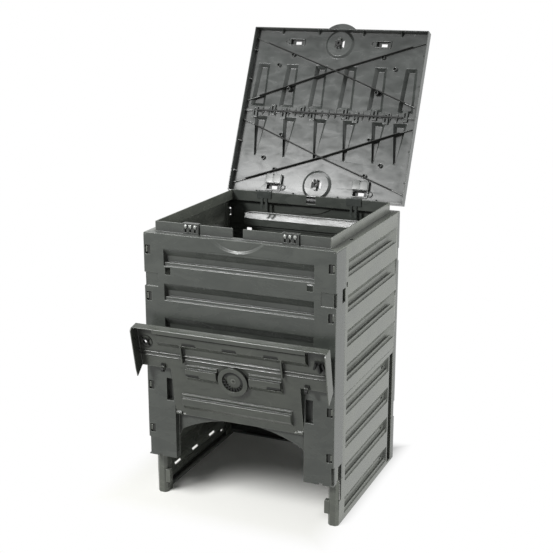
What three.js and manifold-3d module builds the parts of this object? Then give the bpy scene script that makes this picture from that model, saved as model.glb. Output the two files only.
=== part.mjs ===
import * as THREE from 'three';
import { mergeVertices } from 'three/addons/utils/BufferGeometryUtils.js';
import Module from 'manifold-3d';

const wasm = await Module();
wasm.setup();

// Compost bin of moulded panels. Millimetres, +Z up, the door side faces -Y.
// While it is built, X is centred, Y runs back from the front face and Z up from the ground.

// Body
const bodyWidth = 600;
const bodyDepth = 574;
const bodyHeight = 842;
const sheet = 4;
const fitGap = 0.3;
const frontReturn = 75;
const rearReturn = 26;
const sideSplitShare = 0.4715;
const splitLipTall = 9;
const splitLipMargin = 30;
const footWidth = 22;

// Rim round the mouth
const rimInset = 26;
const rimHeight = 30;
const rimNotchLong = 25;
const rimNotchShort = 8;
const rimNotchDepth = 27;
const scoopHalfWidth = 79;
const scoopDrop = 31;
const scoopDepth = 5;
const scoopBevel = 5;
const shoulderSetIn = 8;
const shoulderHoleFrom = 144;
const shoulderHoleLength = 18;
const shoulderHoleWidth = 9;
const shoulderHoleInset = 9;

// Grooves pressed into the walls, counted downwards from the shoulder
const grooveDrop = 44;
const grooveFoot = 19;
const grooveLast = 7;
const grooveSlope = 23;
const grooveFloor = 18;
const grooveLedgeTall = 10;
const grooveDepth = 16;
const grooveDepthLow = 12;
const grooveLedgeShare = 0.36;
const grooveEnd = 5;
const grooveMarginFront = 65;
const sideGrooveFrom = 98;
const sideGrooveRearMargin = 76;
const sideGrooveRamp = 49;
const doorGrooves = [5, 6, 7];
const frontGrooves = [0, 1, 2, 3];
const backGrooves = [0, 1, 2, 3, 4, 5, 6, 7];
const upperGrooves = [0, 1, 2, 3];
const lowerGrooves = [4, 5, 6, 7];
const ventedGrooves = [2, 5, 7];
const ventPlaceShares = [0.146, 0.447, 0.757];
const ventLength = 40;
const ventTall = 7;

// Rear channel and small square holes of the lower side walls
const channelRearMargin = 68;
const channelWidth = 34;
const channelBottom = 5;
const channelTopGap = 15;
const squareHoleRearMargin = 114;
const squareHoleWidth = 19;
const squareHoleTall = 9;
const squareHoleInset = 3;

// Snap windows in the corners and the hooks that sit in them
const windowEdge = 5;
const windowWidth = 18;
const windowTall = 27;
const windowShares = [0.94, 0.772, 0.441, 0.276];
const hookTall = 18;
const hookSetBack = 2.5;
const hookThick = 5;
const hookNose = 5;
const hookGap = 1.2;
const tongueStart = 10;
const tongueOverlap = 5;
const smallHoleInset = 69;
const smallHoleWidth = 18;
const smallHoleTall = 21;
const smallHoleShare = 0.8686;
const toothDepth = 8;
const toothTall = 40;
const toothShare = 0.8337;
const bandDepth = 2.2;
const bandLength = 45;
const lowToothTall = 54;
const lowToothShare = 0.208;
const returnGapLength = 23;
const sideHoleLength = 9;
const sideHoleTall = 14;
const sideHoleFrom = 84;
const sideHoleShare = 0.8634;

// Front ends of the lower side walls, on which the door closes
const endSetBack = 41;
const endWidth = 33;
const endLength = 39;
const endChamfer = 8;
const endTopGap = 6;
const slotFrom = 50;
const slotTo = 66;
const slotBottom = 77;
const slotTall = 115;
const keeperWidth = 11;
const keeperLength = 18;
const keeperBottom = 35;
const keeperTall = 42;

// Doorway in the front wall
const postWidth = 94;
const doorSideGap = 1;
const doorAxisShare = 0.34964;
const doorAxisDepth = 5;
const doorBottomGap = 3.3;
const doorStripTall = 139.7;
const postGap = 1.6;
const recessDepth = 22;
const recessRise = 56;
const archDrop = 9.4;
const archCrown = 47.6;
const archEndDrop = 79.4;
const archEndWidth = 12;
const archSteps = 12;
const pocketWidth = 23;
const pocketInset = 5;
const pocketDepth = 18;
const pocketBottomRise = 36;
const pocketTall = 70;
const postNotchInset = 34;
const postNotchWidth = 12;
const postNotchTall = 6;

// Door, shown swung up
const doorOpenAngle = 168.06;
const doorTail = 5;
const doorStripOverhang = 4;
const doorLipDepth = 22.8;
const doorLipReturn = 14.6;
const doorFlangeDepth = 36;
const doorFlangeCorner = 6;
const doorFlangeTip = 22;
const doorGrooveDepth = 13;
const doorGrooveMarginTop = 32;
const doorGrooveMarginMid = 55;
const doorGrooveMarginLow = 69;
const doorRibTall = 4;
const doorRibSpacing = 12;
const doorRibThick = 2.5;
const doorStandInset = 48;
const doorStandTall = 12;
const doorStandFrom = 30;
const doorStandLength = 62;
const doorVentShare = 0.626;
const doorVentLength = 45;
const doorVentTall = 6;
const doorHookOffset = 22;
const doorHookWidth = 12;
const doorHookDepth = 8;
const doorHookRise = 4;
const doorHookRoot = 10;
const doorHubRadius = 47;
const doorHubDepth = 12;
const doorHubDish = 33;
const doorHubDrop = 23.6;
const doorHubGrooveGap = 4;
const pivotPinRadius = 3;
const pivotPinLength = 22;
const pivotKnuckleRadius = 5.5;
const pivotKnuckleLength = 18;
const pivotKnuckleGap = 1;

// Lid of two halves, shown open
const lidOpenAngle = 114.56;
const lidSideOverhang = 5;
const lidFrontSetBack = 2.4;
const lidSheet = 3;
const lidFlange = 30;
const lidRearOverhang = 3;
const lidRise = 40;
const lidSeamRib = 8;
const lidSeamGap = 0.4;
const lidRibTall = 6;
const lidRibThick = 3;
const lidRibCross = 149;
const lidRibEndMargin = 32;
const gussetThick = 3;
const gussetLong = 14;
const gussetTall = 20;
const gussetShares = [0.379, 0.738];
const gussetEndShares = [0.256, 0.689];
const slotClipOffset = 3;
const slotEdgeFront = 41;
const slotEdgeRear = 29;
const slotWidth = 53;
const slotLong = 25;
const slotHoleWidth = 20;
const slotHoleLong = 11;
const slotPegOffset = 34;
const slotPegRadius = 9;
const slotRimThick = 3;
const slotRimTall = 3.3;
const slotWellRise = 9;
const hoodFrom = 42;
const hoodLong = 14;
const hoodTall = 12;
const lidHubRadius = 50;
const lidHubEdge = 45;
const lidHubDepth = 6;
const lidHubSlope = 8;
const pullHalfWidth = 57;
const pullReach = 27;
const pullThick = 6;
const bossRadius = 7;
const bossWall = 2.2;
const bossTall = 8;
const bossShares = [[0.508, 0.278], [0.518, 0.696], [0.672, 0.564]];
const wedgePitchShare = 0.341;
const wedgeDepth = 10;
const wedgeSlope = 11;
const wedgeLengthFront = 167;
const wedgeTipFront = 40;
const wedgeRootFront = 52;
const wedgeLengthRear = 155;
const wedgeTipRear = 6;
const wedgeRootRear = 46;
const wedgeFrontShares = [-2.5, -1.5, -0.5, 0.5, 1.5, 2.5];
const wedgeRearShares = [-2.3, -1.3, -0.25, 0.74, 1.7, 2.4];
const wedgeStart = 14;
const clipWidth = 18;
const clipReach = 24;
const clipSlot = 6;
const clipSlotMargin = 7;
const clipRoot = 13;
const clipRimGap = 0.5;
const clipStepShares = [0.53, 1.53, 2.53, -0.92, -1.92];
const seamNotchGap = 2;
const finSteps = 11;
const finEndMargin = 45;
const finThick = 5;
const finTip = 1;
const finLong = 13;
const finDrop = 0.5;

// Hinge at the rear rim and the clips on the front rim
const rimClipShare = 0.5167;
const rimClipWidth = 50;
const rimClipLegDepth = 20;
const rimClipTop = 3;
const rimClipOuter = 5.5;
const hingeY = 2.5;
const hingeDrop = 24.2;
const hingeRadius = 6.5;
const hingePinRadius = 2.8;
const earThick = 8;
const earGap = 0.5;
const earFoot = 5;
const heelReach = 18.5;
const heelTall = 4;
const earCutTall = 14;
const earCutDepth = 6;
const earRise = 10;
const eyeRise = 6;
const stopGap = 0.6;
const hookEyeSteps = [-1, 0, 1];
const hookEyePitch = 15;
const hookEyeWidth = 9;
const hookEyeTall = 12;
const hookEyeHigh = 5;
const hookEyeSpacing = 17;
const bracketLegPlace = 8;
const bracketLegWidth = 7;
const bracketLegDrop = 57;

// Turning knobs
const knobGripLength = 48;
const knobGripWidth = 12;
const knobGripTall = 10;
const knobShaft = 8;
const knobBarWidth = 10;
const knobBarTail = 14;
const knobBarReach = 20;
const knobBarThick = 3;
const knobNoseFrom = 10;
const knobNoseLength = 8;
const knobNoseDrop = 10;
const doorKnobDisc = 24;
const lobeReach = 17;
const lobeHalfTall = 13;
const lobeRootHalf = 6;
const lobeDeep = 24;
const circleSteps = 32;
const pullSteps = 64;
const scoopSteps = 128;
const smallSteps = 16;
const beyond = 12;
const placeStep = 2 ** -10;

const halfWidth = bodyWidth / 2;
const halfDepth = bodyDepth / 2;
const sideSplitHeight = sideSplitShare * bodyHeight;
const grooveTall = grooveSlope + grooveFloor + grooveLedgeTall;
const groovePitch = (bodyHeight - grooveDrop - grooveTall - grooveFoot) / grooveLast;
const sideGrooveTo = bodyDepth - sideGrooveRearMargin;
const channelFrom = bodyDepth - channelRearMargin;
const squareHoleFrom = bodyDepth - squareHoleRearMargin;
const doorHalfWidth = halfWidth - postWidth;
const doorAxisHeight = doorAxisShare * bodyHeight;
const lidHalfWidth = halfWidth + lidSideOverhang;
const lidHalfLength = (bodyDepth + lidRearOverhang - lidFrontSetBack) / 2;
const wedgePitch = wedgePitchShare * lidHalfWidth;
const clipTall = lidRise - rimHeight - lidSheet - clipRimGap;
const rimClipPlace = rimClipShare * halfWidth;
const slotPlace = rimClipPlace - slotClipOffset;

// Helpers: prisms along each axis, joined and cut as solids. Their corners lie on a fine grid, so that faces
// meant to lie in one plane do.

function solid(geometry) {
  const plain = geometry.index ? geometry.toNonIndexed() : geometry;
  plain.deleteAttribute('normal');
  plain.deleteAttribute('uv');
  const merged = mergeVertices(plain);
  const mesh = new wasm.Mesh({
    numProp: 3,
    vertProperties: new Float32Array(merged.attributes.position.array),
    triVerts: new Uint32Array(merged.index.array),
  });
  return new wasm.Manifold(mesh);
}

function snapped(geometry) {
  const places = geometry.attributes.position.array;
  places.forEach((value, i) => {
    places[i] = Math.round(value / placeStep) * placeStep;
  });
  return solid(geometry);
}

function outline(points) {
  return new THREE.Shape(points.map(([a, b]) => new THREE.Vector2(a, b)));
}

function extruded(points, depth) {
  return new THREE.ExtrudeGeometry(outline(points), { depth, bevelEnabled: false, curveSegments: 1 });
}

function prismZ(points, z0, z1) {
  return snapped(extruded(points, z1 - z0).translate(0, 0, z0));
}

function prismX(points, x0, x1) {
  const turn = new THREE.Matrix4().set(0, 0, 1, x0, 1, 0, 0, 0, 0, 1, 0, 0, 0, 0, 0, 1);
  return snapped(extruded(points, x1 - x0).applyMatrix4(turn));
}

function prismY(points, y0, y1) {
  const turn = new THREE.Matrix4().set(1, 0, 0, 0, 0, 0, -1, y1, 0, 1, 0, 0, 0, 0, 0, 1);
  return snapped(extruded(points, y1 - y0).applyMatrix4(turn));
}

function box(x0, x1, y0, y1, z0, z1) {
  const geometry = new THREE.BoxGeometry(x1 - x0, y1 - y0, z1 - z0);
  return snapped(geometry.translate((x0 + x1) / 2, (y0 + y1) / 2, (z0 + z1) / 2));
}

function hullOf(corners) {
  const onGrid = (value) => Math.round(value / placeStep) * placeStep;
  return wasm.Manifold.hull(corners.map((corner) => corner.map(onGrid)));
}

function circle(a, b, radius, steps) {
  return Array.from({ length: steps }, (_, i) => {
    const angle = (2 * Math.PI * (i + 0.5)) / steps;
    return [a + radius * Math.cos(angle), b + radius * Math.sin(angle)];
  });
}

function joined(parts) {
  return parts.reduce((whole, next) => whole.add(next));
}

function cutBy(whole, cuts) {
  return cuts.reduce((rest, next) => rest.subtract(next), whole);
}

function toGeometry(manifold) {
  const mesh = manifold.getMesh();
  const geometry = new THREE.BufferGeometry();
  geometry.setAttribute('position', new THREE.BufferAttribute(new Float32Array(mesh.vertProperties),
    3));
  geometry.setIndex(new THREE.BufferAttribute(new Uint32Array(mesh.triVerts), 1));
  return geometry;
}

function moved(manifold, matrix) {
  return solid(toGeometry(manifold).applyMatrix4(matrix));
}

function mirrored(manifold) {
  const geometry = toGeometry(manifold).scale(-1, 1, 1);
  const index = geometry.index.array;
  for (let i = 0; i < index.length; i += 3) {
    const first = index[i];
    index[i] = index[i + 1];
    index[i + 1] = first;
  }
  return solid(geometry);
}

function turnedAboutX(degrees, y, z) {
  const there = new THREE.Matrix4().makeTranslation(0, y, z);
  const turn = new THREE.Matrix4().makeRotationX(THREE.MathUtils.degToRad(degrees));
  const back = new THREE.Matrix4().makeTranslation(0, -y, -z);
  return there.multiply(turn).multiply(back);
}

const group = new THREE.Group();

function place(name, manifold, colour, roughness) {
  const geometry = toGeometry(manifold).toNonIndexed();
  geometry.computeVertexNormals();
  const material = new THREE.MeshStandardMaterial({ color: colour, roughness, metalness: 0 });
  material.name = `${name}_plastic`;
  const mesh = new THREE.Mesh(geometry, material);
  mesh.name = name;
  group.add(mesh);
}

// Wall frame: x runs along the wall from its middle, y is the depth inwards, z is up.

const toBack = new THREE.Matrix4().set(-1, 0, 0, 0, 0, -1, 0, bodyDepth, 0, 0, 1, 0, 0, 0, 0, 1);
const toLeft = new THREE.Matrix4().set(0, 1, 0, -halfWidth, -1, 0, 0, halfDepth, 0, 0, 1, 0, 0, 0, 0,
  1);
const toRight = new THREE.Matrix4().set(0, -1, 0, halfWidth, 1, 0, 0, halfDepth, 0, 0, 1, 0, 0, 0, 0,
  1);

function grooveTop(step) {
  return bodyHeight - grooveDrop - step * groovePitch;
}

function pressed(profileOut, profileIn, planOut, planIn, from, to, bottom, top) {
  const bulge = prismX(profileOut, from, to).intersect(prismZ(planOut, bottom, top));
  const cavity = prismX(profileIn, from, to).intersect(prismZ(planIn, bottom, top));
  return { bulge, cavity };
}

function groove(from, to, top, depth, endFrom, endTo, face) {
  const slopeEnd = top - grooveSlope;
  const floorEnd = slopeEnd - grooveFloor;
  const bottom = top - grooveTall;
  const ledge = depth * grooveLedgeShare;
  const inner = [
    [face - beyond, top], [face, top], [face + depth, slopeEnd], [face + depth, floorEnd],
    [face + ledge, floorEnd], [face + ledge, bottom], [face - beyond, bottom],
  ];
  const outer = [
    [face, top + sheet], [face + depth + sheet, slopeEnd + sheet / 2],
      [face + depth + sheet, floorEnd - sheet],
    [face + ledge + sheet, floorEnd - sheet], [face + ledge + sheet, bottom - sheet],
      [face, bottom - sheet],
  ];
  const planIn = [
    [from, face - beyond], [to, face - beyond], [to, face], [to - endTo, face + depth],
    [from + endFrom, face + depth], [from, face],
  ];
  const planOut = [
    [from - sheet, face], [to + sheet, face], [to + sheet - endTo, face + depth + sheet],
    [from - sheet + endFrom, face + depth + sheet],
  ];
  const reach = to - from + beyond;
  return pressed(outer, inner, planOut, planIn, from - reach, to + reach, bottom - beyond,
    top + beyond);
}

function vents(halfSpans, top, face, depth) {
  const middle = top - grooveSlope + ventTall / 2;
  return halfSpans.map((at) => box(
    at - ventLength / 2, at + ventLength / 2, face - beyond, face + depth + beyond,
    middle, middle + ventTall,
  ));
}

const rimOuter = rimInset;
const rimInner = rimInset + sheet;
const rimTop = bodyHeight + rimHeight;

function rim(halfLength) {
  const a = halfLength - fitGap;
  const shoulder = [[-a, 0], [a, 0], [a - rimInner, rimInner], [rimInner - a, rimInner]];
  const wall = [[rimOuter - a, rimOuter], [a - rimOuter, rimOuter], [a - rimInner, rimInner],
    [rimInner - a, rimInner]];
  return joined([
    prismZ(shoulder, bodyHeight - sheet, bodyHeight),
    prismZ(wall, bodyHeight - sheet, rimTop),
  ]);
}

const scoopRadius = (scoopHalfWidth ** 2 + scoopDrop ** 2) / (2 * scoopDrop);
const scoopCentre = bodyHeight - scoopDrop + scoopRadius;

function scoop() {
  const span = scoopHalfWidth + beyond;
  const limit = box(-span, span, -beyond, scoopDepth + sheet, bodyHeight - scoopDrop - beyond,
    bodyHeight);
  const outer = prismY(circle(0, scoopCentre, scoopRadius + sheet, scoopSteps), 0, scoopDepth + sheet);
  const tall = box(-span, span, -beyond, scoopDepth, bodyHeight - scoopDrop - beyond,
    bodyHeight + beyond);
  const ring = (y) => {
    const radius = scoopRadius + scoopBevel * (1 - y / scoopDepth);
    return circle(0, scoopCentre, radius, scoopSteps).map(([x, z]) => [x, y, z]);
  };
  const inner = hullOf([...ring(-beyond), ...ring(scoopDepth)]);
  return { bulge: outer.intersect(limit), cavity: inner.intersect(tall) };
}

function cornerWindows() {
  const edge = halfWidth - windowEdge;
  return windowShares.flatMap((share) => [-1, 1].map((side) => {
    const a = side * edge;
    const b = side * (edge - windowWidth);
    const middle = share * bodyHeight;
    return box(Math.min(a, b), Math.max(a, b), -beyond, sheet + fitGap, middle - windowTall / 2,
      middle + windowTall / 2);
  }));
}

function smallHoles() {
  const middle = smallHoleShare * bodyHeight;
  const outer = halfWidth - smallHoleInset;
  return [-1, 1].map((side) => {
    const a = side * outer;
    const b = side * (outer - smallHoleWidth);
    return box(Math.min(a, b), Math.max(a, b), -beyond, beyond, middle - smallHoleTall / 2,
      middle + smallHoleTall / 2);
  });
}

function cornerBands() {
  const inner = halfWidth - bandLength;
  const middle = toothShare * bodyHeight;
  return [-1, 1].map((side) => {
    const a = side * inner;
    const b = side * (halfWidth + beyond);
    return box(Math.min(a, b), Math.max(a, b), -beyond, bandDepth, middle - toothTall / 2,
      middle + toothTall / 2);
  });
}

function cornerTeeth(reach) {
  const inner = halfWidth - toothDepth;
  return [[toothShare, toothTall], [lowToothShare, lowToothTall]].flatMap(([share, tall]) => {
    const middle = share * bodyHeight;
    return [-1, 1].map((side) => {
      const a = side * inner;
      const b = side * (halfWidth + beyond);
      return box(Math.min(a, b), Math.max(a, b), -beyond, reach, middle - tall / 2, middle + tall / 2);
    });
  });
}

// Outer skin shared by the front and the back wall: sheet, returns, rim, scoop
function wallShell(bottom, returnDepth) {
  const sheetTop = bodyHeight - sheet - fitGap;
  const parts = [
    box(-halfWidth, halfWidth, 0, sheet, bottom, sheetTop),
    box(shoulderSetIn - halfWidth, halfWidth - shoulderSetIn, 0, sheet, sheetTop - sheet, bodyHeight),
    box(-halfWidth, sheet - halfWidth, 0, returnDepth, bottom, sheetTop),
    box(halfWidth - sheet, halfWidth, 0, returnDepth, bottom, sheetTop),
    rim(halfWidth),
    scoop().bulge,
  ];
  return joined(parts);
}

function rimNotch() {
  return box(-rimNotchLong, rimNotchShort, rimOuter - sheet / 2, rimInner + sheet / 2,
    rimTop - rimNotchDepth, rimTop + beyond);
}

// Front wall with the doorway between its two posts
const stripTop = doorBottomGap + doorStripTall;
const postBottom = stripTop + postGap;
const doorwayHalf = doorHalfWidth + doorSideGap;
const recessTop = doorAxisHeight + recessRise;

function archOpening() {
  const endRise = doorAxisHeight - archEndDrop;
  const points = [[-doorHalfWidth, postBottom - beyond], [-doorHalfWidth, endRise]];
  const reach = doorHalfWidth - archEndWidth;
  const archRadius = (reach ** 2 + archCrown ** 2) / (2 * archCrown);
  const archRise = doorAxisHeight - archDrop;
  for (let i = 0; i <= archSteps; i += 1) {
    const x = -reach + (2 * reach * i) / archSteps;
    points.push([x, archRise - archRadius + Math.sqrt(archRadius ** 2 - x ** 2)]);
  }
  points.push([doorHalfWidth, endRise], [doorHalfWidth, postBottom - beyond]);
  return prismY(points.reverse(), -beyond, recessDepth + sheet + beyond);
}

function postPockets() {
  const from = doorwayHalf + pocketInset;
  const bottom = doorAxisHeight + pocketBottomRise;
  const bulges = [];
  const cavities = [];
  [-1, 1].forEach((side) => {
    const a = side * from;
    const b = side * (from + pocketWidth);
    const left = Math.min(a, b);
    const right = Math.max(a, b);
    bulges.push(box(left - sheet, right + sheet, 0, pocketDepth + sheet, bottom - sheet,
      bottom + pocketTall + sheet));
    cavities.push(box(left, right, -beyond, pocketDepth, bottom, bottom + pocketTall));
  });
  return { bulges, cavities };
}

function frontWall() {
  const span = halfWidth - grooveMarginFront;
  const grooves = frontGrooves.map((step) => groove(-span, span, grooveTop(step), grooveDepth,
    grooveEnd, grooveEnd, 0));
  const pockets = postPockets();
  const recessWall = doorwayHalf + sheet;
  let wall = joined([
    wallShell(postBottom, frontReturn),
    ...grooves.map((g) => g.bulge),
    ...pockets.bulges,
    box(-recessWall, recessWall, 0, recessDepth + sheet, postBottom, recessTop + sheet),
  ]);
  const returnMiddle = toothShare * bodyHeight;
  const gapFrom = frontReturn - returnGapLength;
  const notches = [-1, 1].map((side) => {
    const a = side * (halfWidth - postNotchInset);
    const b = side * (halfWidth - postNotchInset - postNotchWidth);
    return box(Math.min(a, b), Math.max(a, b), -beyond, beyond, postBottom - beyond,
      postBottom + postNotchTall);
  });
  wall = cutBy(wall, [
    ...grooves.map((g) => g.cavity),
    ...pockets.cavities,
    box(-doorwayHalf, doorwayHalf, -beyond, recessDepth, postBottom - beyond, recessTop),
    archOpening(),
    scoop().cavity,
    rimNotch(),
    ...cornerWindows(),
    ...smallHoles(),
    ...cornerTeeth(toothDepth),
    ...cornerBands(),
    ...notches,
    box(-halfWidth - beyond, halfWidth + beyond, gapFrom, frontReturn + beyond,
      returnMiddle - toothTall / 2, returnMiddle + toothTall / 2),
    box(-halfWidth - beyond, halfWidth + beyond, endSetBack - beyond, slotTo,
      postBottom - beyond, slotBottom + slotTall),
  ]);
  const hole = (side) => prismX(
    circle(doorAxisDepth, doorAxisHeight, pivotPinRadius + fitGap, smallSteps),
    side > 0 ? doorwayHalf - beyond : -doorwayHalf - beyond,
    side > 0 ? doorwayHalf + beyond : beyond - doorwayHalf,
  );
  return cutBy(wall, [hole(-1), hole(1)]);
}

// Back wall, the same skin down to the ground with a groove at every step
function backWall() {
  const span = halfWidth - grooveMarginFront;
  const grooves = backGrooves.map((step) => groove(-span, span, grooveTop(step), grooveDepth, grooveEnd,
    grooveEnd, 0));
  const whole = joined([
    wallShell(0, rearReturn),
    ...grooves.map((g) => g.bulge),
    box(-halfWidth + sheet, halfWidth - sheet, 0, footWidth, 0, sheet),
  ]);
  const wall = cutBy(whole, [
    ...grooves.map((g) => g.cavity),
    scoop().cavity,
    rimNotch(),
    ...cornerWindows(),
    ...smallHoles(),
    ...cornerTeeth(toothDepth),
    ...cornerBands(),
  ]);
  return moved(wall, toBack);
}

// Side walls, built in the wall frame and turned to the right. Their tongues lie inside the returns.
const sideFront = frontReturn + fitGap - halfDepth;
const sideRear = halfDepth - rearReturn - fitGap;
const tongueOut = sheet + fitGap;
const tongueIn = tongueOut + sheet;

function cornerHooks(shares) {
  const near = windowEdge + hookGap;
  const far = near + hookNose;
  return shares.flatMap((share) => {
    const middle = share * bodyHeight;
    const low = middle - hookTall / 2;
    const high = middle + hookTall / 2;
    return [
      box(hookSetBack - halfDepth, hookSetBack + hookThick - halfDepth, near, far, low, high),
      box(sheet + fitGap - halfDepth, tongueStart + sheet - halfDepth, tongueOut, far, low, high),
      box(halfDepth - hookSetBack - hookThick, halfDepth - hookSetBack, near, far, low, high),
      box(halfDepth - tongueStart - sheet, halfDepth - sheet - fitGap, tongueOut, far, low, high),
    ];
  });
}

function tongues(bottom, top) {
  return [
    box(tongueStart - halfDepth, sideFront + tongueOverlap, tongueOut, tongueIn, bottom, top),
    box(sideFront, sideFront + tongueOverlap, 0, tongueIn, bottom, top),
    box(sideRear - tongueOverlap, halfDepth - tongueStart, tongueOut, tongueIn, bottom, top),
    box(sideRear - tongueOverlap, sideRear, 0, tongueIn, bottom, top),
  ];
}

function sideGrooves(steps, depth, ramp) {
  const from = sideGrooveFrom - halfDepth;
  const to = sideGrooveTo + ramp - grooveEnd - halfDepth;
  return steps.map((step) => groove(from, to, grooveTop(step), depth, grooveEnd, ramp, 0));
}

function sideVents(steps, depth) {
  const length = sideGrooveTo - sideGrooveFrom;
  const places = ventPlaceShares.map((share) => sideGrooveFrom + share * length - halfDepth);
  return steps.filter((step) => ventedGrooves.includes(step)).flatMap((step) => vents(places,
    grooveTop(step), 0, depth));
}

function upperSide() {
  const bottom = sideSplitHeight + fitGap;
  const sheetTop = bodyHeight - sheet - fitGap;
  const grooves = sideGrooves(upperGrooves, grooveDepth, sideGrooveRamp);
  const lip = [
    box(sideFront + splitLipMargin, sideRear - splitLipMargin, tongueOut, tongueIn,
      bottom - splitLipTall, bottom + sheet),
    box(sideFront + splitLipMargin, sideRear - splitLipMargin, 0, tongueIn, bottom, bottom + sheet),
  ];
  const whole = joined([
    box(sideFront, sideRear, 0, sheet, bottom, bodyHeight),
    rim(halfDepth),
    ...tongues(bottom, sheetTop),
    ...cornerHooks(windowShares.slice(0, 2)),
    ...grooves.map((g) => g.bulge),
    ...lip,
  ]);
  const gapMiddle = toothShare * bodyHeight;
  const holeFrom = shoulderHoleFrom - halfDepth;
  const sideHole = sideHoleFrom - halfDepth;
  const sideHoleMiddle = sideHoleShare * bodyHeight;
  return cutBy(whole, [
    ...grooves.map((g) => g.cavity),
    ...sideVents(upperGrooves, grooveDepth),
    box(frontReturn - returnGapLength - halfDepth, sideFront, -beyond, beyond,
      gapMiddle - toothTall / 2, gapMiddle + toothTall / 2),
    box(holeFrom, holeFrom + shoulderHoleLength, shoulderHoleInset,
      shoulderHoleInset + shoulderHoleWidth,
      bodyHeight - sheet - beyond, bodyHeight + beyond),
    box(sideHole, sideHole + sideHoleLength, -beyond, beyond,
      sideHoleMiddle - sideHoleTall / 2, sideHoleMiddle + sideHoleTall / 2),
  ]);
}

function endPost(outer, bottom, top) {
  const front = endSetBack - halfDepth;
  const back = front + endLength;
  const shape = (grow) => [
    [back + grow, outer + grow], [front + endChamfer + grow, outer + grow],
      [front + grow, outer + endChamfer + grow],
    [front + grow, endWidth - endChamfer - grow], [front + endChamfer + grow, endWidth - grow],
      [back + grow, endWidth - grow],
  ];
  return prismZ(shape(0), bottom, top).subtract(prismZ(shape(sheet), bottom - beyond, top + beyond));
}

function lowerSide() {
  const top = sideSplitHeight - fitGap;
  const grooves = sideGrooves(lowerGrooves, grooveDepthLow, grooveEnd);
  const channel = {
    bulge: box(channelFrom - halfDepth - sheet, channelFrom + channelWidth - halfDepth + sheet, 0,
      grooveDepthLow + sheet, channelBottom, top - channelTopGap + sheet),
    cavity: box(channelFrom - halfDepth, channelFrom + channelWidth - halfDepth, -beyond,
      grooveDepthLow, channelBottom + sheet, top - channelTopGap),
  };
  const endFront = endSetBack - halfDepth;
  const postTop = top - endTopGap;
  const whole = joined([
    box(sideFront, sideRear, 0, sheet, 0, top),
    box(endFront + endChamfer, sideFront + tongueOverlap, 0, sheet, 0, stripTop),
    ...tongues(postBottom + fitGap, top),
    endPost(0, 0, stripTop),
    endPost(tongueOut, stripTop - sheet, postTop),
    ...cornerHooks(windowShares.slice(2)),
    ...grooves.map((g) => g.bulge),
    channel.bulge,
    box(endFront + endLength - sheet, sideRear, 0, footWidth, 0, sheet),
    box(endFront + sheet / 2, endFront + sheet / 2 + keeperLength, endWidth - sheet,
      endWidth + keeperWidth,
      keeperBottom, keeperBottom + keeperTall),
  ]);
  const squares = lowerGrooves.map((step) => {
    const middle = grooveTop(step) - grooveSlope - squareHoleInset;
    return box(squareHoleFrom - halfDepth, squareHoleFrom + squareHoleWidth - halfDepth, -beyond,
      grooveDepthLow + sheet + beyond, middle - squareHoleTall, middle);
  });
  return cutBy(whole, [
    ...grooves.map((g) => g.cavity),
    channel.cavity,
    ...sideVents(lowerGrooves, grooveDepthLow),
    ...squares,
    box(slotFrom - halfDepth, slotTo - halfDepth, -beyond, tongueIn + fitGap, slotBottom,
      slotBottom + slotTall),
  ]);
}

// Hub with its bow-tie opening and the knob that turns in it. Knob frame: z points out of the panel.

function bowTie() {
  const lobes = [
    [-lobeReach, -lobeHalfTall], [-lobeRootHalf, -lobeRootHalf], [lobeRootHalf, -lobeRootHalf],
    [lobeReach, -lobeHalfTall], [lobeReach, lobeHalfTall], [lobeRootHalf, lobeRootHalf],
    [-lobeRootHalf, lobeRootHalf], [-lobeReach, lobeHalfTall],
  ];
  return joined([
    prismZ(lobes, -lobeDeep, lobeDeep),
    prismZ(circle(0, 0, knobShaft + fitGap, circleSteps), -lobeDeep, lobeDeep),
  ]);
}

function knob(floor, latch) {
  const under = -floor - fitGap;
  const grip = [
    [-knobGripWidth / 2, -knobGripLength / 2], [knobGripWidth / 2, -knobGripLength / 2],
    [knobGripWidth / 2, knobGripLength / 2], [-knobGripWidth / 2, knobGripLength / 2],
  ];
  const half = knobBarWidth / 2;
  const parts = [
    prismZ(grip, fitGap, fitGap + knobGripTall),
    prismZ(circle(0, 0, knobShaft, circleSteps), under - knobBarThick, fitGap + knobGripTall / 2),
  ];
  if (latch) {
    parts.push(box(-half, half, -knobBarTail, knobBarReach, under - knobBarThick, under));
    parts.push(box(-half, half, knobNoseFrom, knobNoseFrom + knobNoseLength, under - knobNoseDrop,
      under));
  } else {
    parts.push(prismZ(circle(0, 0, doorKnobDisc, circleSteps), under - knobBarThick, under));
  }
  return joined(parts);
}

// Lid halves. Half frame: x across, y from the seam to the outer edge, z up with the outer face at zero.

const lidTop = bodyHeight + lidRise;
const lidRear = bodyDepth + lidRearOverhang;
const lidSeam = lidRear - lidHalfLength;
const hubCentre = lidHalfLength - lidHubEdge;
const lidInside = -lidSheet;

function tray() {
  const edge = lidHalfLength;
  return [
    box(-lidHalfWidth, lidHalfWidth, lidSeamGap, edge, -lidSheet, 0),
    box(-lidHalfWidth, lidHalfWidth, edge - lidSheet, edge, -lidFlange, 0),
    box(-lidHalfWidth, lidSheet - lidHalfWidth, lidSeamGap, edge, -lidFlange, 0),
    box(lidHalfWidth - lidSheet, lidHalfWidth, lidSeamGap, edge, -lidFlange, 0),
    box(-lidHalfWidth, lidHalfWidth, lidSeamGap, lidSeamGap + lidSheet, -lidSeamRib, 0),
  ];
}

function strut(x0, y0, x1, y1, thick, tall, top) {
  const along = new THREE.Vector2(x1 - x0, y1 - y0).normalize().multiplyScalar(thick / 2);
  const points = [
    [x0 + along.y, y0 - along.x], [x1 + along.y, y1 - along.x], [x1 - along.y, y1 + along.x],
      [x0 - along.y, y0 + along.x],
  ];
  return prismZ(points, lidInside - tall, top);
}

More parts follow.
